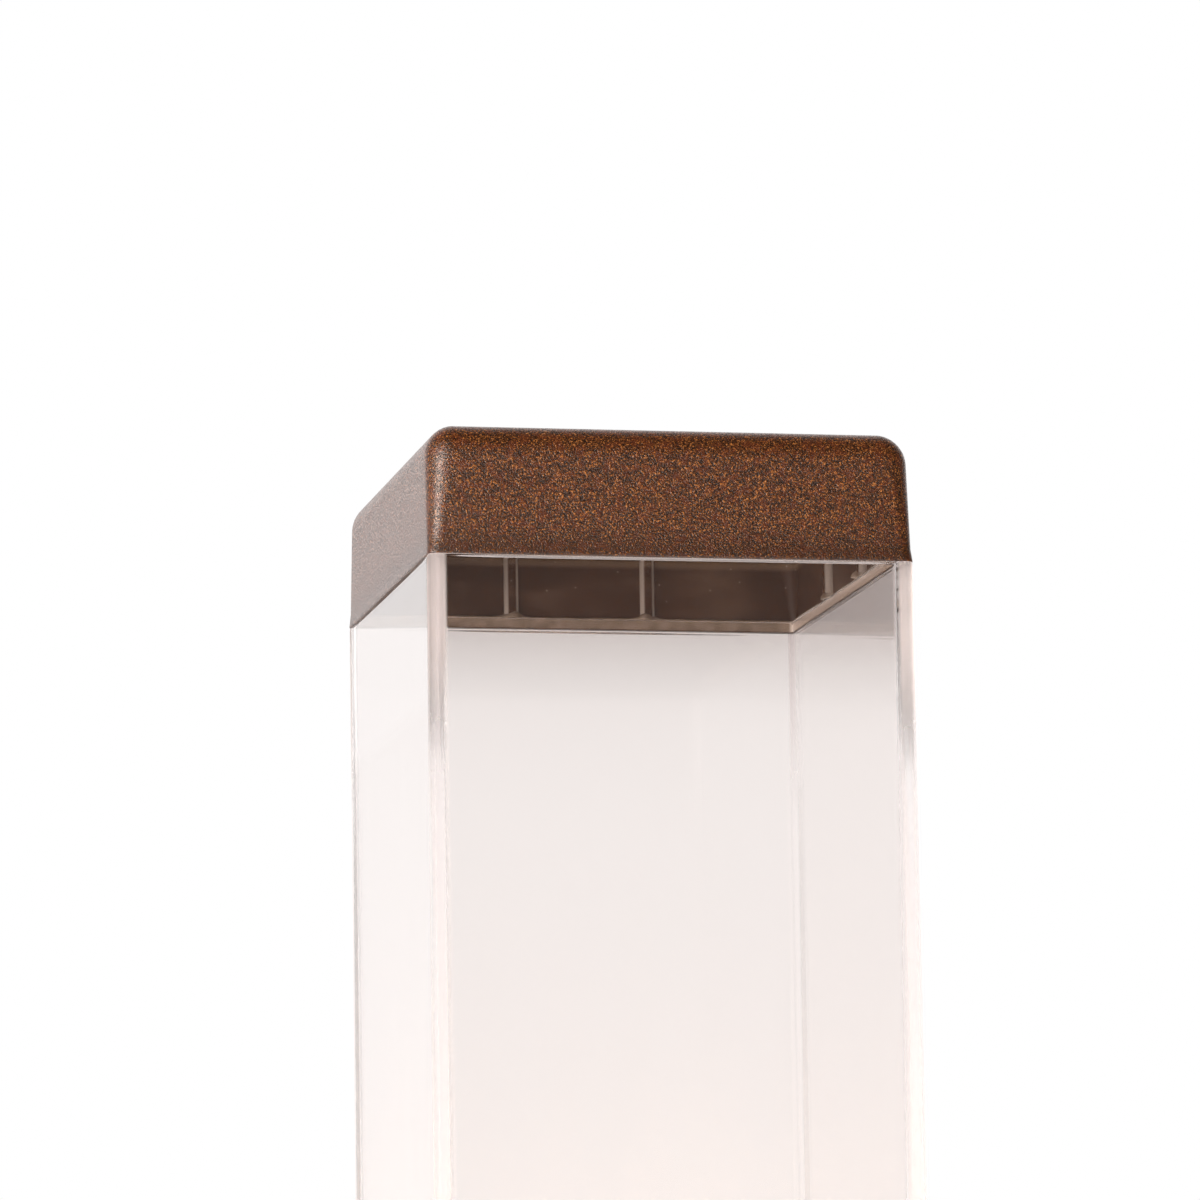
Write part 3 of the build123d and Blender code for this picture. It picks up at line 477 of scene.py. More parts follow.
# %% Rubber, ceramic and moulded parts
def moulded(name, low, high, roughness, per_mm, depth_mm):
    """A dielectric between two colours, with a grain of one size."""
    part = Finish(name, Roughness=roughness)
    grain = part.noise(per_mm, detail=3.0, roughness=0.6)
    patches = part.noise(0.06)
    part.set("Base Color", part.ramp(0.6 * grain + 0.4 * patches, (0.3, low), (0.7, high)))
    part.set("Roughness", roughness - 0.07 + 0.2 * patches)
    part.bump(grain, depth_mm, 0.6)
    return part


def ceramic():
    """Unglazed white ceramic: a chalky body with scattered pits."""
    body = moulded("white_ceramic", (0.74, 0.72, 0.66), (0.86, 0.84, 0.79), 0.55, 1.4, 0.03)
    pits = 1 - body.cells(0.55).rise(0.05, 0.16)
    chalk = Value(body, body.inputs["Base Color"].links[0].from_socket)
    body.set("Base Color", body.mix(0.6 * pits, chalk, (0.42, 0.38, 0.32)))
    body.bump(body.noise(1.4, detail=3.0) - 0.8 * pits, 0.06, 0.7)
    return body.material


def opal_glow():
    """The lit diffuser: brightest over the board, a little dimmer towards its rim."""
    dome = moulded("bulb_opal", (0.90, 0.86, 0.78), (0.95, 0.92, 0.86), 0.38, 0.8, 0.01)
    low, high = (corner.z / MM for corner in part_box("bulb_dome"))
    rise = dome.height().rise(low, high)
    warm = dome.ramp(rise, (0.0, (1.0, 0.66, 0.36)), (1.0, (1.0, 0.76, 0.50)))
    dome.set("Emission Color", warm)
    dome.inputs["Emission Strength"].default_value = GLOW
    return dome.material


def earth_insulation():
    """Green insulation with a yellow stripe that winds round the wire."""
    wire = Finish("wire_earth", Roughness=0.42)
    winding = {"Vector": wire.place, "Scale": 0.09}
    stripe = wire.add("TexWave", winding, bands_direction="DIAGONAL").of("Fac")
    wire.set("Base Color", wire.mix(stripe.rise(0.45, 0.55), (0.05, 0.22, 0.04), (0.72, 0.60, 0.05)))
    wire.bump(wire.noise(3.0), 0.01, 0.4)
    return wire.material


GLOW = 6.0
RUBBER = moulded("black_rubber", (0.012, 0.012, 0.012), (0.034, 0.033, 0.032), 0.72, 2.2, 0.03).material
CERAMIC = ceramic()
OPAL = opal_glow()
BULB_WHITE = moulded("bulb_white", (0.80, 0.80, 0.78), (0.88, 0.88, 0.86), 0.36, 1.2, 0.012).material
BULB_BLACK = moulded("bulb_black", (0.010, 0.010, 0.011), (0.026, 0.026, 0.027), 0.22, 1.0, 0.01).material
BOARD_WHITE = moulded("board_white", (0.78, 0.78, 0.72), (0.88, 0.88, 0.82), 0.44, 0.5, 0.02).material
IVORY = moulded("block_plastic", (0.70, 0.67, 0.58), (0.80, 0.78, 0.71), 0.40, 0.9, 0.015).material
BROWN_WIRE = moulded("wire_brown", (0.085, 0.032, 0.014), (0.130, 0.052, 0.024), 0.42, 1.8, 0.01).material
BLUE_WIRE = moulded("wire_blue", (0.020, 0.075, 0.270), (0.035, 0.110, 0.380), 0.42, 1.8, 0.01).material
EARTH_WIRE = earth_insulation()
print(len(bpy.data.materials), "materials so far")

# %% [markdown]
# ## Rings and skins
#
# The cap, the clear walls and the gaskets all have a square section that changes with height: it
# tapers, its corners open out, its sides bow in. So each is a stack of square rings with the same
# number of points, joined by quads. A ring is worked out from its side, its corner radius and its
# dish, and a rounded edge is a few rings whose side and height follow a quarter circle.

# %% Rings and skins
SIDE_STEPS = 20
CORNER_STEPS = 10
SHARP_ANGLE = radians(32)


def square_ring(side, corner, z, dish=0.0, steps=SIDE_STEPS):
    """Points of a level square ring, in mm, anticlockwise, with round corners and bowed sides."""
    half = side / 2
    along = np.linspace(-1, 1, steps, endpoint=False) * (half - corner)
    angles = np.linspace(0, pi / 2, CORNER_STEPS, endpoint=False)
    edge = np.column_stack([np.full(steps, half), along])
    arc = half - corner + corner * np.column_stack([np.cos(angles), np.sin(angles)])
    quarter = np.vstack([edge, arc])
    turns = (0, pi / 2, pi, 3 * pi / 2)
    points = np.vstack([quarter @ np.array([[cos(a), sin(a)], [-sin(a), cos(a)]]) for a in turns])
    bow = 1 - dish / half * (1 - (points[:, ::-1] / half) ** 2)
    points = points * bow
    return np.column_stack([points[:, 0], points[:, 1] + AXIS_Y_MM, np.full(len(points), z)])


def quarter_turn(steps=6):
    """(outward share, upward share) of the points of a quarter circle that rolls from a wall to a top."""
    return [(cos(a), sin(a)) for a in np.linspace(0, pi / 2, steps + 1)]


def skin(name, rings, closed=False):
    """A mesh object over a stack of rings, in mm. An open stack gets a flat face at each end."""
    count = len(rings[0])
    vertices = np.vstack(rings) * MM
    spans = len(rings) if closed else len(rings) - 1
    faces = []
    for row in range(spans):
        low = row * count
        high = (row + 1) % len(rings) * count
        for k in range(count):
            after = (k + 1) % count
            faces.append((low + k, low + after, high + after, high + k))
    if not closed:
        faces.append(tuple(range(count))[::-1])
        faces.append(tuple(range((len(rings) - 1) * count, len(rings) * count)))
    return mesh_object(name, vertices, faces)


def mesh_object(name, vertices, faces):
    """A smooth-shaded mesh in the scene, with hard edges where faces meet steeply."""
    mesh = bpy.data.meshes.new(name)
    mesh.from_pydata([tuple(v) for v in vertices], [], faces)
    mesh.validate()
    mesh.shade_smooth()
    mesh.set_sharp_from_angle(angle=SHARP_ANGLE)
    made = bpy.data.objects.new(name, mesh)
    bpy.context.scene.collection.objects.link(made)
    return made


def finish_piece(piece, body, slot, material, *replaced):
    """Gives a piece its material and its body, and hides the nodes it stands for. slot is not used."""
    if material:
        piece.data.materials.clear()
        piece.data.materials.append(material)
    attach(piece, body)
    if replaced:
        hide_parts(*replaced)
    print(piece.name, len(piece.data.vertices), "points on", body)
    return piece


# %% [markdown]
# ## The cap
#
# The cap is a thin moulding with a little draft: its corners open from 3.0 to 5.8 mm towards the
# crown, its top edge is well rounded, and its foot flares out over the clear walls. Its skin
# runs from the middle of the roof's inside, down the inner wall, round the lip and up to the crown,
# so wall thickness and draft are both in the rings. The lining is a second material on the inner
# faces and under the lip. Two separate thin shells would leave an open rim.

# %% Cap shell
CAP_FOOT_FLARE = 0.2
CAP_FOOT_HEIGHT = 2.8
CAP_DRAFT = 0.15
CAP_INSIDE_DRAFT = 0.25
CAP_WALL = 1.8
CAP_ROOF = 1.9
CAP_CORNERS = {"foot": 2.2, "bore": 1.2, "side": 3.0, "crown": 5.8, "inner crown": 5.9}
CAP_CROWN_FILLET = 6.4
CAP_INNER_FILLET = 4.9
CAP_LIP_ROUND = 0.25

cap_foot_side = cap_high.x - cap_low.x
cap_side = cap_foot_side - 2 * CAP_FOOT_FLARE
cap_crown_side = cap_side - 2 * CAP_DRAFT
cap_inside_side = cap_side - 2 * CAP_WALL
cap_crown_inside = cap_inside_side - 2 * CAP_INSIDE_DRAFT


def between(start, end, share):
    return start + (end - start) * share


def cap_outside(z, inset=0.0):
    """The outer ring of the cap at a height over its foot, moved in by inset."""
    z_over = z - cap_low.z
    if z_over < CAP_FOOT_HEIGHT:
        share = z_over / CAP_FOOT_HEIGHT
        side = between(cap_foot_side, cap_side, share)
        corner = between(CAP_CORNERS["foot"], CAP_CORNERS["side"], share)
    else:
        share = (z_over - CAP_FOOT_HEIGHT) / (cap_high.z - cap_low.z - CAP_FOOT_HEIGHT)
        side = between(cap_side, cap_crown_side, share)
        corner = between(CAP_CORNERS["side"], CAP_CORNERS["crown"], share)
    return square_ring(side - 2 * inset, max(corner - inset, 0.3), z)


def cap_inside(z, inset=0.0):
    """The inner ring of the cap at a height, moved in by inset."""
    share = (z - cap_low.z) / (cap_high.z - CAP_ROOF - cap_low.z)
    side = between(cap_inside_side, cap_crown_inside, share)
    corner = between(CAP_CORNERS["bore"], CAP_CORNERS["inner crown"], share)
    return square_ring(side - 2 * inset, max(corner - inset, 0.3), z)


def cap_rings():
    """The cap's rings from the roof's inside to the crown, and how many of them line the inside."""
    rings = []
    roof = cap_high.z - CAP_ROOF
    for share in (0.97, 0.7, 0.4):
        rings.append(cap_inside(roof, between(CAP_INNER_FILLET, cap_crown_inside / 2, share)))
    for out, up in quarter_turn(8)[::-1]:
        rings.append(cap_inside(roof - CAP_INNER_FILLET * (1 - up), CAP_INNER_FILLET * (1 - out)))
    for share in np.linspace(1, 0, 14)[1:-1]:
        rings.append(cap_inside(between(cap_low.z + CAP_LIP_ROUND, roof - CAP_INNER_FILLET, share)))
    for out, up in quarter_turn(3)[::-1]:
        rings.append(cap_inside(cap_low.z + CAP_LIP_ROUND * (1 - out), -CAP_LIP_ROUND * (1 - up)))
    lining = len(rings)
    for out, up in quarter_turn(3)[::-1]:
        rings.append(cap_outside(cap_low.z + CAP_LIP_ROUND * (1 - up), CAP_LIP_ROUND * (1 - out)))
    for share in np.linspace(0, 1, 5)[1:]:
        rings.append(cap_outside(cap_low.z + between(CAP_LIP_ROUND, CAP_FOOT_HEIGHT, share)))
    shoulder = cap_high.z - CAP_CROWN_FILLET
    for share in np.linspace(0, 1, 12)[1:-1]:
        rings.append(cap_outside(between(cap_low.z + CAP_FOOT_HEIGHT, shoulder, share)))
    for out, up in quarter_turn(12):
        rings.append(cap_outside(shoulder + CAP_CROWN_FILLET * up, CAP_CROWN_FILLET * (1 - out)))
    for share in (0.3, 0.6, 0.97):
        rings.append(cap_outside(cap_high.z, between(CAP_CROWN_FILLET, cap_crown_side / 2, share)))
    return rings, lining


rings, lining = cap_rings()
cap_shell = skin("cap_shell", rings)
cap_shell.data.materials.append(POWDER_COAT)
cap_shell.data.materials.append(CAP_LINING)
lined_faces = lining * len(rings[0])
for face in cap_shell.data.polygons:
    face.material_index = int(face.index < lined_faces)
cap_shell.data.polygons[len(cap_shell.data.polygons) - 2].material_index = 1
finish_piece(cap_shell, "shade", "cap_finish", None, "top_cap")

# %% [markdown]
# ## Ribs inside the cap
#
# Eight half-round ribs stiffen the cap, two along each inner side, and they stop the clear shade's
# tongue. They are all the same, so Geometry Nodes make them: a line becomes a rod with a domed foot,
# the rod stands on two points, and the pair is turned round the axis four times. The sizes are named
# inputs of the tree. The result is turned into a plain mesh, because an instance isn't one.

# %% A tree's inputs and its result
def new_tree(name, **inputs):
    """A Geometry Nodes tree with a geometry input, named float inputs and a geometry output."""
    tree = bpy.data.node_groups.new(name, "GeometryNodeTree")
    face = tree.interface
    face.new_socket("Geometry", in_out="INPUT", socket_type="NodeSocketGeometry")
    for label, kind in inputs.items():
        face.new_socket(label.replace("_", " "), in_out="INPUT", socket_type="NodeSocket" + kind)
    face.new_socket("Geometry", in_out="OUTPUT", socket_type="NodeSocketGeometry")
    graph = Graph(tree)
    return graph, graph.add("NodeGroupInput")


def end_tree(graph, geometry, material=None):
    """Realizes the instances, sets the material and closes the tree."""
    made = graph.add("RealizeInstances", {0: geometry})
    if material:
        made = graph.add("SetMaterial", {"Geometry": made, "Material": material})
    graph.add("NodeGroupOutput", {0: made})


def add_tree(piece, graph, **values):
    """Puts the tree on the piece, with its inputs set by their sockets' identifiers."""
    modifier = piece.modifiers.new(graph.tree.name, "NODES")
    modifier.node_group = graph.tree
    sockets = [item for item in graph.tree.interface.items_tree if item.item_type == "SOCKET"]
    ids = {socket.name: socket.identifier for socket in sockets if socket.in_out == "INPUT"}
    for label, value in values.items():
        modifier[ids[label.replace("_", " ")]] = value
    return modifier


def plain_mesh(piece):
    """Turns what the piece's modifiers show into its own mesh."""
    shown = piece.evaluated_get(bpy.context.evaluated_depsgraph_get())
    mesh = bpy.data.meshes.new_from_object(shown)
    piece.modifiers.clear()
    piece.data = mesh
    mesh.name = piece.name
    return piece


# %% Cap ribs
RIB_REACH = 1.9
TONGUE_OVER_LEDGE = 2.2
RIB_TIP = 0.9


def rib_tree():
    """Eight rods round the lamp's axis."""
    sizes = ("Radius", "Length", "Tip", "Spacing", "Distance", "Fillet")
    graph, given = new_tree("cap_ribs", **{size: "Float" for size in sizes}, Foot="Vector")
    radius, length, tip, spacing, distance, fillet = (given.of(size) for size in sizes)
    upright = {"Direction": (0, 0, 1), "Length": length}
    line = graph.add("CurvePrimitiveLine", upright, mode="DIRECTION")
    rod = graph.add("ResampleCurve", {"Curve": line, "Count": 64})
    along = graph.add("SplineParameter").of("Length")
    dome = (1 - (1 - (along / tip).at_most(1.0)) ** 2).at_least(0.0) ** 0.5
    rod = graph.add("SetCurveRadius", {"Curve": rod, "Radius": dome.at_least(0.05)})
    over = (fillet - (length - along)).at_least(0.0)
    inset = fillet - (fillet ** 2 - over ** 2).at_least(0.0) ** 0.5
    lean = graph.add("ShaderNodeCombineXYZ", {0: inset * -1.0})
    rod = graph.add("SetPosition", {"Geometry": rod, "Offset": lean})
    ring = graph.add("CurvePrimitiveCircle", {"Resolution": 32, "Radius": radius})
    rod = graph.add("CurveToMesh", {"Curve": rod, "Profile Curve": ring, "Fill Caps": True})
    start = graph.add("ShaderNodeCombineXYZ", {0: distance, 1: spacing * -0.5})
    step = graph.add("ShaderNodeCombineXYZ", {1: spacing})
    pair = graph.add("MeshLine", {"Count": 2, "Start Location": start, "Offset": step})
    pair = graph.add("InstanceOnPoints", {"Points": pair, "Instance": rod})
    sides = graph.add("Points", {"Count": 4, "Position": given.of("Foot")})
    quarter = graph.add("InputIndex") * (pi / 2)
    turned = graph.add("ShaderNodeCombineXYZ", {2: quarter})
    around = graph.add("InstanceOnPoints", {"Points": sides, "Instance": pair, "Rotation": turned})
    smooth = graph.add("SetShadeSmooth", {0: graph.add("RealizeInstances", {0: around})})
    end_tree(graph, smooth, RIB_LINING)
    return graph


rib_foot = cap_low.z + TONGUE_OVER_LEDGE
rib_distance = cap_inside_side / 2 - RIB_REACH + RIB_RADIUS
cap_ribs = mesh_object("cap_ribs", [], [])
add_tree(
    cap_ribs, rib_tree(),
    Radius=RIB_RADIUS * MM, Length=(cap_high.z - CAP_ROOF - rib_foot) * MM, Tip=RIB_TIP * MM,
    Spacing=RIB_SPACING * MM, Distance=rib_distance * MM, Fillet=CAP_INNER_FILLET * MM,
    Foot=(0.0, LAMP_AXIS_Y, rib_foot * MM),
)
finish_piece(plain_mesh(cap_ribs), "shade", "cap_finish", None, "top_cap")

# %% [markdown]
# ## The clear shade
#
# The shade is one moulding: a tube with a tongue at each end, whose bore narrows downwards so that it
# leaves its core. Its sides are nearly flat for most of their height, and sink in by 0.8 mm at the
# base and by 0.7 mm at the ledge under the cap, as such tubes do when they cool, so a dark sliver shows
# under the straight edge of the cap. All its edges are broken by a small round, because a perfectly
# sharp edge of clear plastic would look like a drawing.

# %% Clear shade
SHADE_DISH = 0.8
SHADE_FLAT_DISH = 0.04
SHADE_LEDGE_DISH = 0.7
SHADE_BASE_ZONE = (5.0, 75.0)
SHADE_LEDGE_ZONE = (0.8, 0.2)
SHADE_CORNER = 1.6
BORE_CORNER = 1.0
SHADE_LEDGE_BREAK = 0.2
LEDGE_LEAD_IN = 0.2
CAP_TONGUE_GAP = 0.2
BASE_TONGUE_SIDE = 94.0
BASE_TONGUE_CORNER = 1.4
EDGE_ROUND = 0.18

shade_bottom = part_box("shade_gasket")[1].z / MM
shade_top = cap_low.z
shade_side = 100.0
cap_tongue_side = cap_inside_side - 2 * CAP_TONGUE_GAP


def climb(value, start, end):
    """0 before start and 1 after end, with a smooth climb between, for numbers."""
    share = min(max((value - start) / (end - start), 0.0), 1.0)
    return share * share * (3 - 2 * share)


def sides_dish(z, ledge=False):
    """How far the sides bow in at a height: most at the base, and on the outside at the ledge."""
    first, last = SHADE_BASE_ZONE
    dish = between(SHADE_DISH, SHADE_FLAT_DISH, climb(z, shade_bottom + first, shade_bottom + last))
    if ledge:
        first, last = SHADE_LEDGE_ZONE
        dish = between(dish, SHADE_LEDGE_DISH, climb(z, shade_top - first, shade_top - last))
    return dish


def wall_ring(side, corner, z, ledge=False):
    return square_ring(side, corner, z, sides_dish(z, ledge))


def shade_rings():
    """The clear wall's rings: up the outside, over the tongue and down the bore."""
    rings = [
        wall_ring(BASE_TONGUE_SIDE - 2 * EDGE_ROUND, BASE_TONGUE_CORNER, shade_low.z),
        wall_ring(BASE_TONGUE_SIDE, BASE_TONGUE_CORNER, shade_low.z + EDGE_ROUND),
        wall_ring(BASE_TONGUE_SIDE, BASE_TONGUE_CORNER, shade_bottom),
    ]
    for out, up in quarter_turn(3)[::-1]:
        inset = EDGE_ROUND * (1 - out)
        rings.append(wall_ring(shade_side - 2 * inset, SHADE_CORNER, shade_bottom + EDGE_ROUND * (1 - up)))
    ledge_start = shade_top - SHADE_LEDGE_ZONE[0]
    levels = np.linspace(shade_bottom + EDGE_ROUND, ledge_start, 20)[1:-1]
    for z in [*levels, ledge_start - LEDGE_LEAD_IN]:
        rings.append(wall_ring(shade_side, SHADE_CORNER, z))
    for z in np.linspace(ledge_start, shade_top - SHADE_LEDGE_BREAK, 8)[:-1]:
        rings.append(wall_ring(shade_side, SHADE_CORNER, z, ledge=True))
    for out, up in quarter_turn(4):
        inset = SHADE_LEDGE_BREAK * (1 - out)
        z = shade_top - SHADE_LEDGE_BREAK * (1 - up)
        rings.append(wall_ring(shade_side - 2 * inset, SHADE_CORNER - inset, z, ledge=True))
    rings.append(wall_ring(cap_tongue_side, BORE_CORNER, shade_top))
    for out, up in quarter_turn(3):
        inset = EDGE_ROUND * (1 - out)
        z = shade_high.z - EDGE_ROUND * (1 - up)
        rings.append(wall_ring(cap_tongue_side - 2 * inset, BORE_CORNER, z))
    for share in np.linspace(0, 1, 18):
        side = between(BORE_TOP_SIDE, BORE_BOTTOM_SIDE, share)
        rings.append(wall_ring(side, BORE_CORNER, between(shade_high.z, shade_low.z, share)))
    return rings


shade_wall = skin("shade_wall", shade_rings(), closed=True)
finish_piece(shade_wall, "shade", "clear_plastic", CLEAR_PLASTIC, "clear_shade")

# %% [markdown]
# ## The sealing bead
#
# The cap is glued on with clear sealant, which fills the slit between the tongue and the cap and stands
# a little over the tongue. It is laid by hand, so it is never even: it swells and thins, gathers in
# lumps at the eight ribs and climbs them a little. Its section runs up the cap's wall, over a quarter
# of an ellipse, back across the tongue's top and down into the slit. How far it reaches and how high
# it climbs are two lists round the ring, each a sum of waves with whole numbers of turns, so they close.

# %% Sealing bead
BEAD_STEPS = 150
BEAD_REACH = 1.5
BEAD_HEIGHT = 0.5
BEAD_LUMP_REACH = 1.6
BEAD_LUMP_HEIGHT = 1.3
BEAD_LUMP_WIDTH = 1.8
BEAD_FOOT = 0.25
BEAD_SKIN = 0.03
BEAD_WAVES = ((0.12, 5, 0.1), (0.10, 13, 0.7), (0.05, 23, 0.3))


def bead_ring(side, corner, z, dish=0.0):
    return square_ring(side, corner, z, dish, steps=BEAD_STEPS)


def bead_rings():
    """The bead's rings: up the cap's wall, over the ellipse, and down the outside of the tongue."""
    wall = bead_ring(cap_inside_side - 2 * BEAD_SKIN, CAP_CORNERS["bore"], 0.0)
    inner = bead_ring(cap_inside_side - 2 * BEAD_REACH, CAP_CORNERS["bore"], 0.0)
    turns = np.arange(len(wall)) / len(wall)
    swell = sum(size * np.sin(tau * (waves * turns + start)) for size, waves, start in BEAD_WAVES)
    across = np.minimum(np.abs(wall[:, 0]), np.abs(wall[:, 1] - AXIS_Y_MM))
    lump = np.exp(-(((across - RIB_SPACING / 2) / BEAD_LUMP_WIDTH) ** 2))
    reach = BEAD_REACH * (1 + swell) + BEAD_LUMP_REACH * lump
    rise = BEAD_HEIGHT * (1 + np.roll(swell, 40)) + BEAD_LUMP_HEIGHT * lump
    rings = [wall + [0.0, 0.0, cap_low.z + BEAD_FOOT]]
    for out, up in quarter_turn(8)[::-1]:
        ring = wall + (inner - wall) * (reach * out / BEAD_REACH)[:, None]
        ring[:, 2] = rib_foot + BEAD_SKIN + rise * up
        rings.append(ring)
    slit = cap_tongue_side + 2 * BEAD_SKIN
    rings.append(bead_ring(slit, BORE_CORNER, rib_foot + BEAD_SKIN, SHADE_FLAT_DISH))
    rings.append(bead_ring(slit, BORE_CORNER, cap_low.z + BEAD_FOOT, SHADE_FLAT_DISH))
    return rings


bead = skin("bead", bead_rings(), closed=True)
finish_piece(bead, "shade", "clear_sealant", CLEAR_SEALANT, "sealing_bead")

# %% [markdown]
# ## Threads of thin sheet
#
# The bulb's cap and the holder's shell are pressed from thin sheet, and their thread is a row of
# round knuckles. A threaded body is a stack of rings whose radius depends on the angle as well as on
# the height, so that the crest climbs one pitch in each turn. The screws' sharp threads are made the
# same way with another profile. Each ring has the same number of points, whether it is round,
# hexagonal or threaded, so a whole screw from its tip to the bottom of its socket is one skin.

# %% Rings round an axis
ROUND = 36
AROUND = np.arange(ROUND) * tau / ROUND
HEXAGON = 1 / np.cos((AROUND + pi / 6) % (pi / 3) - pi / 6)


def round_ring(radius, z):
    """A level ring round the z axis, in mm, from one radius or one for each point."""
    return np.column_stack([radius * np.cos(AROUND), radius * np.sin(AROUND), np.full(ROUND, z)])


def knuckle(z, pitch):
    """0 in the roots and 1 on the crests of a rolled sheet thread."""
    return 0.5 + 0.5 * np.cos(tau * z / pitch - AROUND)


def cut_thread(z, pitch):
    """0 in the roots and 1 on the crests of a metric thread, which has narrow flats on both."""
    place = (z / pitch - AROUND / tau) % 1.0
    return np.clip(1.35 - 2.7 * np.abs(place - 0.5), 0.0, 1.0)


print("rings of", ROUND, "points")

# %% Lampholder shell and bulb cap
E27_PITCH = 3.62
SHELL_SHEET = 1.15
SHELL_RADII = {"crest": 13.4, "root": 13.7}
BULB_CAP_RADII = {"root": 12.35, "crest": 13.1}
BULB_COLLAR = {"height": 3.0, "proud": 0.35}
KNUCKLE_FADE = 2.0


def on_axis(rings):
    """Rings moved to the lamp's axis."""
    return [points + [0.0, AXIS_Y_MM, 0.0] for points in rings]


def shell_rings(low, high):
    """The shell: up its outside and down its inside, with plain ends."""
    heights = np.linspace(low, high, 60)
    rings = []
    for sheet, levels in ((SHELL_SHEET, heights), (0.0, heights[::-1])):
        for z in levels:
            fade = min(1.0, (z - low) / KNUCKLE_FADE, (high - z) / KNUCKLE_FADE)
            depth = (SHELL_RADII["root"] - SHELL_RADII["crest"]) * fade
            rings.append(round_ring(SHELL_RADII["root"] + sheet - depth * knuckle(z, E27_PITCH), z))
    return on_axis(rings)


def bulb_cap_rings(low, high):
    """The bulb's cap: its turned-in lower rim, the thread, and a plain collar under the skirt."""
    root = BULB_CAP_RADII["root"]
    depth = BULB_CAP_RADII["crest"] - root
    collar = high - BULB_COLLAR["height"]
    rings = [round_ring(root - 1.6, low), round_ring(root - 0.5, low)]
    for z in np.linspace(low + 0.5, collar, 50):
        fade = min(1.0, (z - low) / KNUCKLE_FADE, (collar - z) / KNUCKLE_FADE)
        rings.append(round_ring(root + depth * fade * knuckle(z, E27_PITCH), z))
    proud = root + BULB_COLLAR["proud"]
    rings += [round_ring(proud, collar + 0.3), round_ring(proud, high - 0.2), round_ring(root, high)]
    return on_axis(rings)


shell_low, shell_high = (corner.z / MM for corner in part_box("lampholder_shell"))
threaded_shell = skin("threaded_shell", shell_rings(shell_low, shell_high), closed=True)
finish_piece(threaded_shell, "root", "nickel", NICKEL, "lampholder_shell")
bulb_cap_low, bulb_cap_high = (corner.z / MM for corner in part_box("bulb_cap"))
threaded_cap = skin("threaded_cap", bulb_cap_rings(bulb_cap_low, bulb_cap_high))
finish_piece(threaded_cap, "bulb", "nickel", NICKEL, "bulb_cap")

# %% [markdown]
# ## Screws
#
# Screws and bolts of eight kinds hold the lamp together. Their places are read from the construction
# model: each loose part of a node is one screw, and its box gives the middle of its head. The table
# says which way the heads face. One screw of each kind is a skin of rings, and Geometry Nodes then
# set a copy on each place, turned so that its own z axis points the way the head faces.

# %% Kinds of screw
# Slot, way the head faces, thread, pitch, the head's height and width, and the socket's width.
# A head without a socket is a hexagon.
SCREWS = {
    "shade_screws": ("stainless", "side", 4.0, 0.7, 2.2, 7.0, 2.5),
    "canopy_screws": ("stainless", "side", 4.0, 0.7, 2.4, 7.6, 2.5),
    "block_screws": ("zinc_steel", "front", 3.0, 0.5, 1.9, 5.2, 2.0),
    "pole_screws": ("zinc_steel", "front", 3.4, 0.6, 0.3, 3.0, 1.5),
    "tray_screws": ("zinc_steel", "up", 4.0, 0.7, 2.8, 7.0, None),
    "holder_screws": ("zinc_steel", "down", 3.5, 0.6, 2.4, 6.0, None),
    "neck_bolts": ("zinc_steel", "back", 5.0, 0.8, 3.5, 8.0, None),
    "earth_screws": ("zinc_steel", "back", 4.0, 0.7, 2.8, 7.0, None),
}
DIRECTIONS = {"front": (0, -1, 0), "back": (0, 1, 0), "up": (0, 0, 1), "down": (0, 0, -1)}
THREAD_DEPTH = 0.61
RINGS_PER_PITCH = 6
HEAD_ROUND = 0.3
SOCKET_DEPTH = 0.65


def shank_rings(thread, pitch, low, high):
    """The threaded shank, from its chamfered tip up to the head."""
    root = thread / 2 - THREAD_DEPTH * pitch
    rings = [round_ring(root - 0.2, low)]
    for z in np.arange(low + 0.2, high - 0.1, pitch / RINGS_PER_PITCH):
        fade = min(1.0, (z - low) / pitch, (high - z) / pitch)
        rings.append(round_ring(root + THREAD_DEPTH * pitch * fade * cut_thread(z, pitch), z))
    return rings + [round_ring(root, high)]


def hexagon_head_rings(half, tall):
    """A hexagon head whose upper corners are turned down, with a shallow hollow in its top."""
    hexagon = half * HEXAGON
    rings = [round_ring(hexagon - 0.1, -tall), round_ring(hexagon, 0.1 - tall), round_ring(hexagon, -0.45)]
    rings += [round_ring(np.minimum(hexagon, half * share), z) for share, z in ((1.08, -0.22), (0.97, 0.0))]
    return rings + [round_ring(half * 0.62, 0.0), round_ring(half * 0.5, -0.12)]


def socket_head_rings(half, tall, socket):
    """A round head with a rounded rim and a hexagonal socket with a broken edge."""
    edge = min(HEAD_ROUND, tall / 3)
    opening = socket / 2 * HEXAGON
    deep = SOCKET_DEPTH * max(tall, socket)
    rings = [round_ring(half - edge / 2, -tall), round_ring(half, edge / 2 - tall)]
    rings += [round_ring(half - edge * (1 - out), -edge * (1 - up)) for out, up in quarter_turn(4)]
    rings += [round_ring(opening + 0.1, 0.0), round_ring(opening, -0.1), round_ring(opening, -deep)]
    return rings + [round_ring(socket * 0.15, -deep - 0.15)]


def screw_template(thread, pitch, tall, width, socket, length):
    """One screw on its own z axis, with the top of its head at z = 0."""
    rings = shank_rings(thread, pitch, -length, -tall)
    if socket:
        rings += socket_head_rings(width / 2, tall, socket)
    else:
        rings += hexagon_head_rings(width / 2, tall)
    return skin("template", rings)


print(len(SCREWS), "kinds of screw")


# %% Places of the screws
WELD = 0.002 * MM


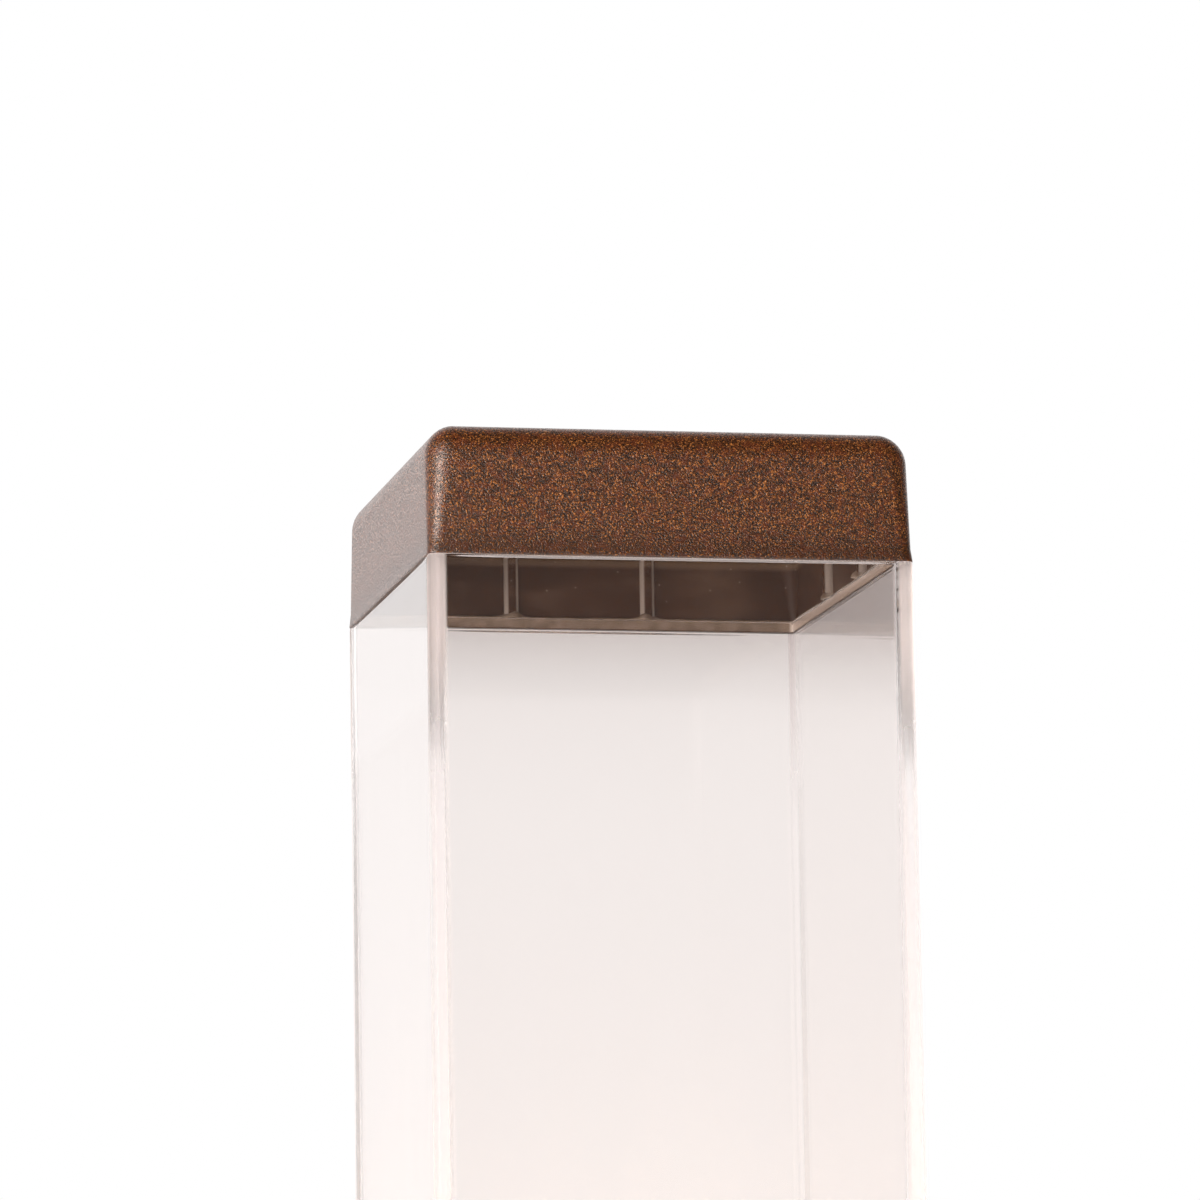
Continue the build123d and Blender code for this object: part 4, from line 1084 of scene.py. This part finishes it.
def loose_parts(name):
    """The lowest and highest corner, in mm, of each separate solid in a node."""
    merged = bmesh.new()
    merged.from_mesh(nodes[name].data)
    bmesh.ops.remove_doubles(merged, verts=merged.verts, dist=WELD)
    left = set(merged.verts)
    boxes = []
    while left:
        part = {left.pop()}
        fresh = set(part)
        while fresh:
            fresh = {edge.other_vert(vert) for vert in fresh for edge in vert.link_edges} - part
            part |= fresh
        left -= part
        places = np.array([vert.co for vert in part]) / MM
        boxes.append((places.min(axis=0), places.max(axis=0)))
    merged.free()
    return sorted(boxes, key=lambda box: tuple(box[0]))


def screw_places(name, faces):
    """The middle of each head's top in mm, the way it faces, and the length of the screws."""
    tops = []
    ways = []
    for low, high in loose_parts(name):
        middle = (low + high) / 2
        way = np.array(DIRECTIONS.get(faces, (np.sign(middle[0]), 0, 0)), dtype=float)
        half_length = np.abs(way * (high - low)).sum() / 2
        tops.append(middle + way * half_length)
        ways.append(way)
    return np.array(tops), np.array(ways), 2 * half_length


def screw_tree():
    """A copy of the screw on each point, turned to its attribute, facing."""
    graph, given = new_tree("set_screws", Screw="Object", Finish="Material")
    screw = graph.add("ObjectInfo", {"Object": given.of("Screw")}, out="Geometry")
    facing = graph.add("InputNamedAttribute", {"Name": "facing"}, data_type="FLOAT_VECTOR")
    turned = graph.add("FunctionNodeAlignRotationToVector", {"Vector": facing}, axis="Z")
    standing = {"Points": given, "Instance": screw, "Rotation": turned}
    end_tree(graph, graph.add("InstanceOnPoints", standing), given.of("Finish"))
    return graph


# %% Set the screws
set_screws = screw_tree()
SCREW_FINISHES = {"stainless": STAINLESS, "zinc_steel": ZINC}
for name, (slot, faces, *sizes) in SCREWS.items():
    tops, ways, length = screw_places(name, faces)
    template = screw_template(*sizes, length)
    screws = mesh_object("threaded_" + name, tops * MM, [])
    facing = screws.data.attributes.new("facing", "FLOAT_VECTOR", "POINT")
    facing.data.foreach_set("vector", ways.ravel())
    add_tree(screws, set_screws, Screw=template, Finish=SCREW_FINISHES[slot])
    finish_piece(plain_mesh(screws), "root", slot, None, name)
    bpy.data.objects.remove(template)

# %% [markdown]
# ## Light and surroundings
#
# A studio surrounds a product with white behind it and darkness in front. The world does the same: the
# camera, and rays through clear plastic, see plain white. Reflections see white over and behind the
# lamp and a dim room in front, so the front of the cap keeps its brown while its left side, seen at
# a slant, turns pale. Everything else gets one even level of light, and two soft lamps add shape.

# %% World
ROOM_LEVEL = 0.62
FRONT_ROOM = (0.036, 0.022, 0.014)
IN_CLEAR = (0.93, 0.89, 0.885)
WHITE = (1.0, 1.0, 1.0)
WARM_WHITE = (1.0, 0.955, 0.945)


def studio_world():
    world = bpy.data.worlds.new("studio")
    world.use_nodes = True
    sky = Graph(world.node_tree)
    sky.tree.nodes.clear()
    path = sky.add("LightPath")
    facing = sky.add("SeparateXYZ", {0: sky.add("TexCoord").of("Generated")})
    behind = facing.of("Y").rise(0.35, 0.85)
    inside_clear = path.of("Transmission Depth").at_most(1.0)
    plain = (path.of("Is Camera Ray") + path.of("Is Transmission Ray")).at_most(1.0)
    level = sky.mix(path.of("Is Glossy Ray"), (ROOM_LEVEL,) * 3, sky.mix(behind, FRONT_ROOM, WARM_WHITE))
    level = sky.mix(path.of("Is Glossy Ray") * inside_clear, level, IN_CLEAR)
    back = sky.add("Background", {"Color": sky.mix(plain, level, WHITE), "Strength": 1.0})
    sky.add("OutputWorld", {"Surface": back})
    bpy.context.scene.world = world


studio_world()
print("room level", ROOM_LEVEL)

# %% Lamps and floor
LAMP_CENTRE = Vector((0.0, LAMP_AXIS_Y, 0.17))


def soft_lamp(name, place, size, power, colour=(1.0, 0.98, 0.96)):
    """A square area lamp that looks at the middle of the wall lamp."""
    light = bpy.data.lights.new(name, "AREA")
    light.size = size
    light.energy = power
    light.color = colour
    lamp = bpy.data.objects.new(name, light)
    bpy.context.scene.collection.objects.link(lamp)
    lamp.location = place
    lamp.rotation_euler = (LAMP_CENTRE - Vector(place)).to_track_quat("-Z", "Y").to_euler()
    lamp.visible_camera = False
    lamp.visible_transmission = False
    return lamp


left_box = soft_lamp("left_box", (-0.90, -0.80, 0.30), 0.7, 14.0, (1.0, 0.91, 0.84))
top_box = soft_lamp("top_box", (0.5, -0.7, 1.3), 0.9, 2.0)
top_box.visible_glossy = False

FLOOR_HALF = 1.5
FLOOR_GAP = 0.0005
floor_level = cad_box[0].z - FLOOR_GAP
corners = [(x * FLOOR_HALF, y * FLOOR_HALF, floor_level) for x, y in ((-1, -1), (1, -1), (1, 1), (-1, 1))]
floor_plate = mesh_object("floor_plate", corners, [(0, 1, 2, 3)])


def pale_floor():
    """A pale, slightly uneven floor."""
    ground = Finish("pale_floor", Roughness=0.7)
    cloud = ground.noise(0.01, detail=3.0)
    ground.set("Base Color", ground.ramp(cloud, (0.3, (0.80, 0.795, 0.79)), (0.7, (0.84, 0.835, 0.83))))
    return ground.material


floor_plate.data.materials.append(pale_floor())
print("floor at", round(floor_level, 4), "m")

# %% [markdown]
# ## The pieces that stay as they were constructed
#
# Their shape is right, and only the shading of their facets has to be softened. A small tree merges
# the loose triangles and marks as hard every edge that turns by more than 30 degrees. As a modifier
# it leaves the construction model's own mesh alone.

# %% Constructed pieces
def soften_tree():
    """Smooth shading with hard edges, on a mesh of loose triangles."""
    graph, given = new_tree("soften_facets", Turn="Float")
    merged = graph.add("MergeByDistance", {"Geometry": given, "Distance": WELD})
    turns = {0: graph.add("InputMeshEdgeAngle"), 1: given.of("Turn")}
    steep = graph.add("FunctionNodeCompare", turns, operation="GREATER_THAN")
    smooth = graph.add("SetShadeSmooth", {0: merged, "Shade Smooth": True})
    hard = {0: smooth, "Selection": steep, "Shade Smooth": False}
    graph.add("NodeGroupOutput", {0: graph.add("SetShadeSmooth", hard, domain="EDGE")})
    return graph


STAYING = {
    "base_housing": POWDER_COAT, "wall_neck": POWDER_COAT, "wall_canopy": POWDER_COAT,
    "shade_gasket": RUBBER, "neck_seals": RUBBER, "canopy_gasket": RUBBER,
    "cable_bush": RUBBER, "wire_bush": RUBBER,
    "holder_tray": ZINC, "wall_bracket": ZINC, "neck_nuts": ZINC,
    "lampholder_body": CERAMIC, "contact_spring": BRONZE,
    "bulb_dome": OPAL, "bulb_skirt": BULB_WHITE, "bulb_board": BOARD_WHITE,
    "bulb_insulator": BULB_BLACK, "bulb_contact": TINNED, "terminal_block": IVORY,
    "earth_lug": TINNED, "wire_live": BROWN_WIRE, "wire_neutral": BLUE_WIRE, "wire_earth": EARTH_WIRE,
}
soften = soften_tree()
for name, material in STAYING.items():
    nodes[name].data.materials.clear()
    nodes[name].data.materials.append(material)
    add_tree(nodes[name], soften, Turn=radians(30))
print(len(STAYING), "constructed pieces have their finish")

# %% [markdown]
# ## Close

# %% Close
print("the scene is built")
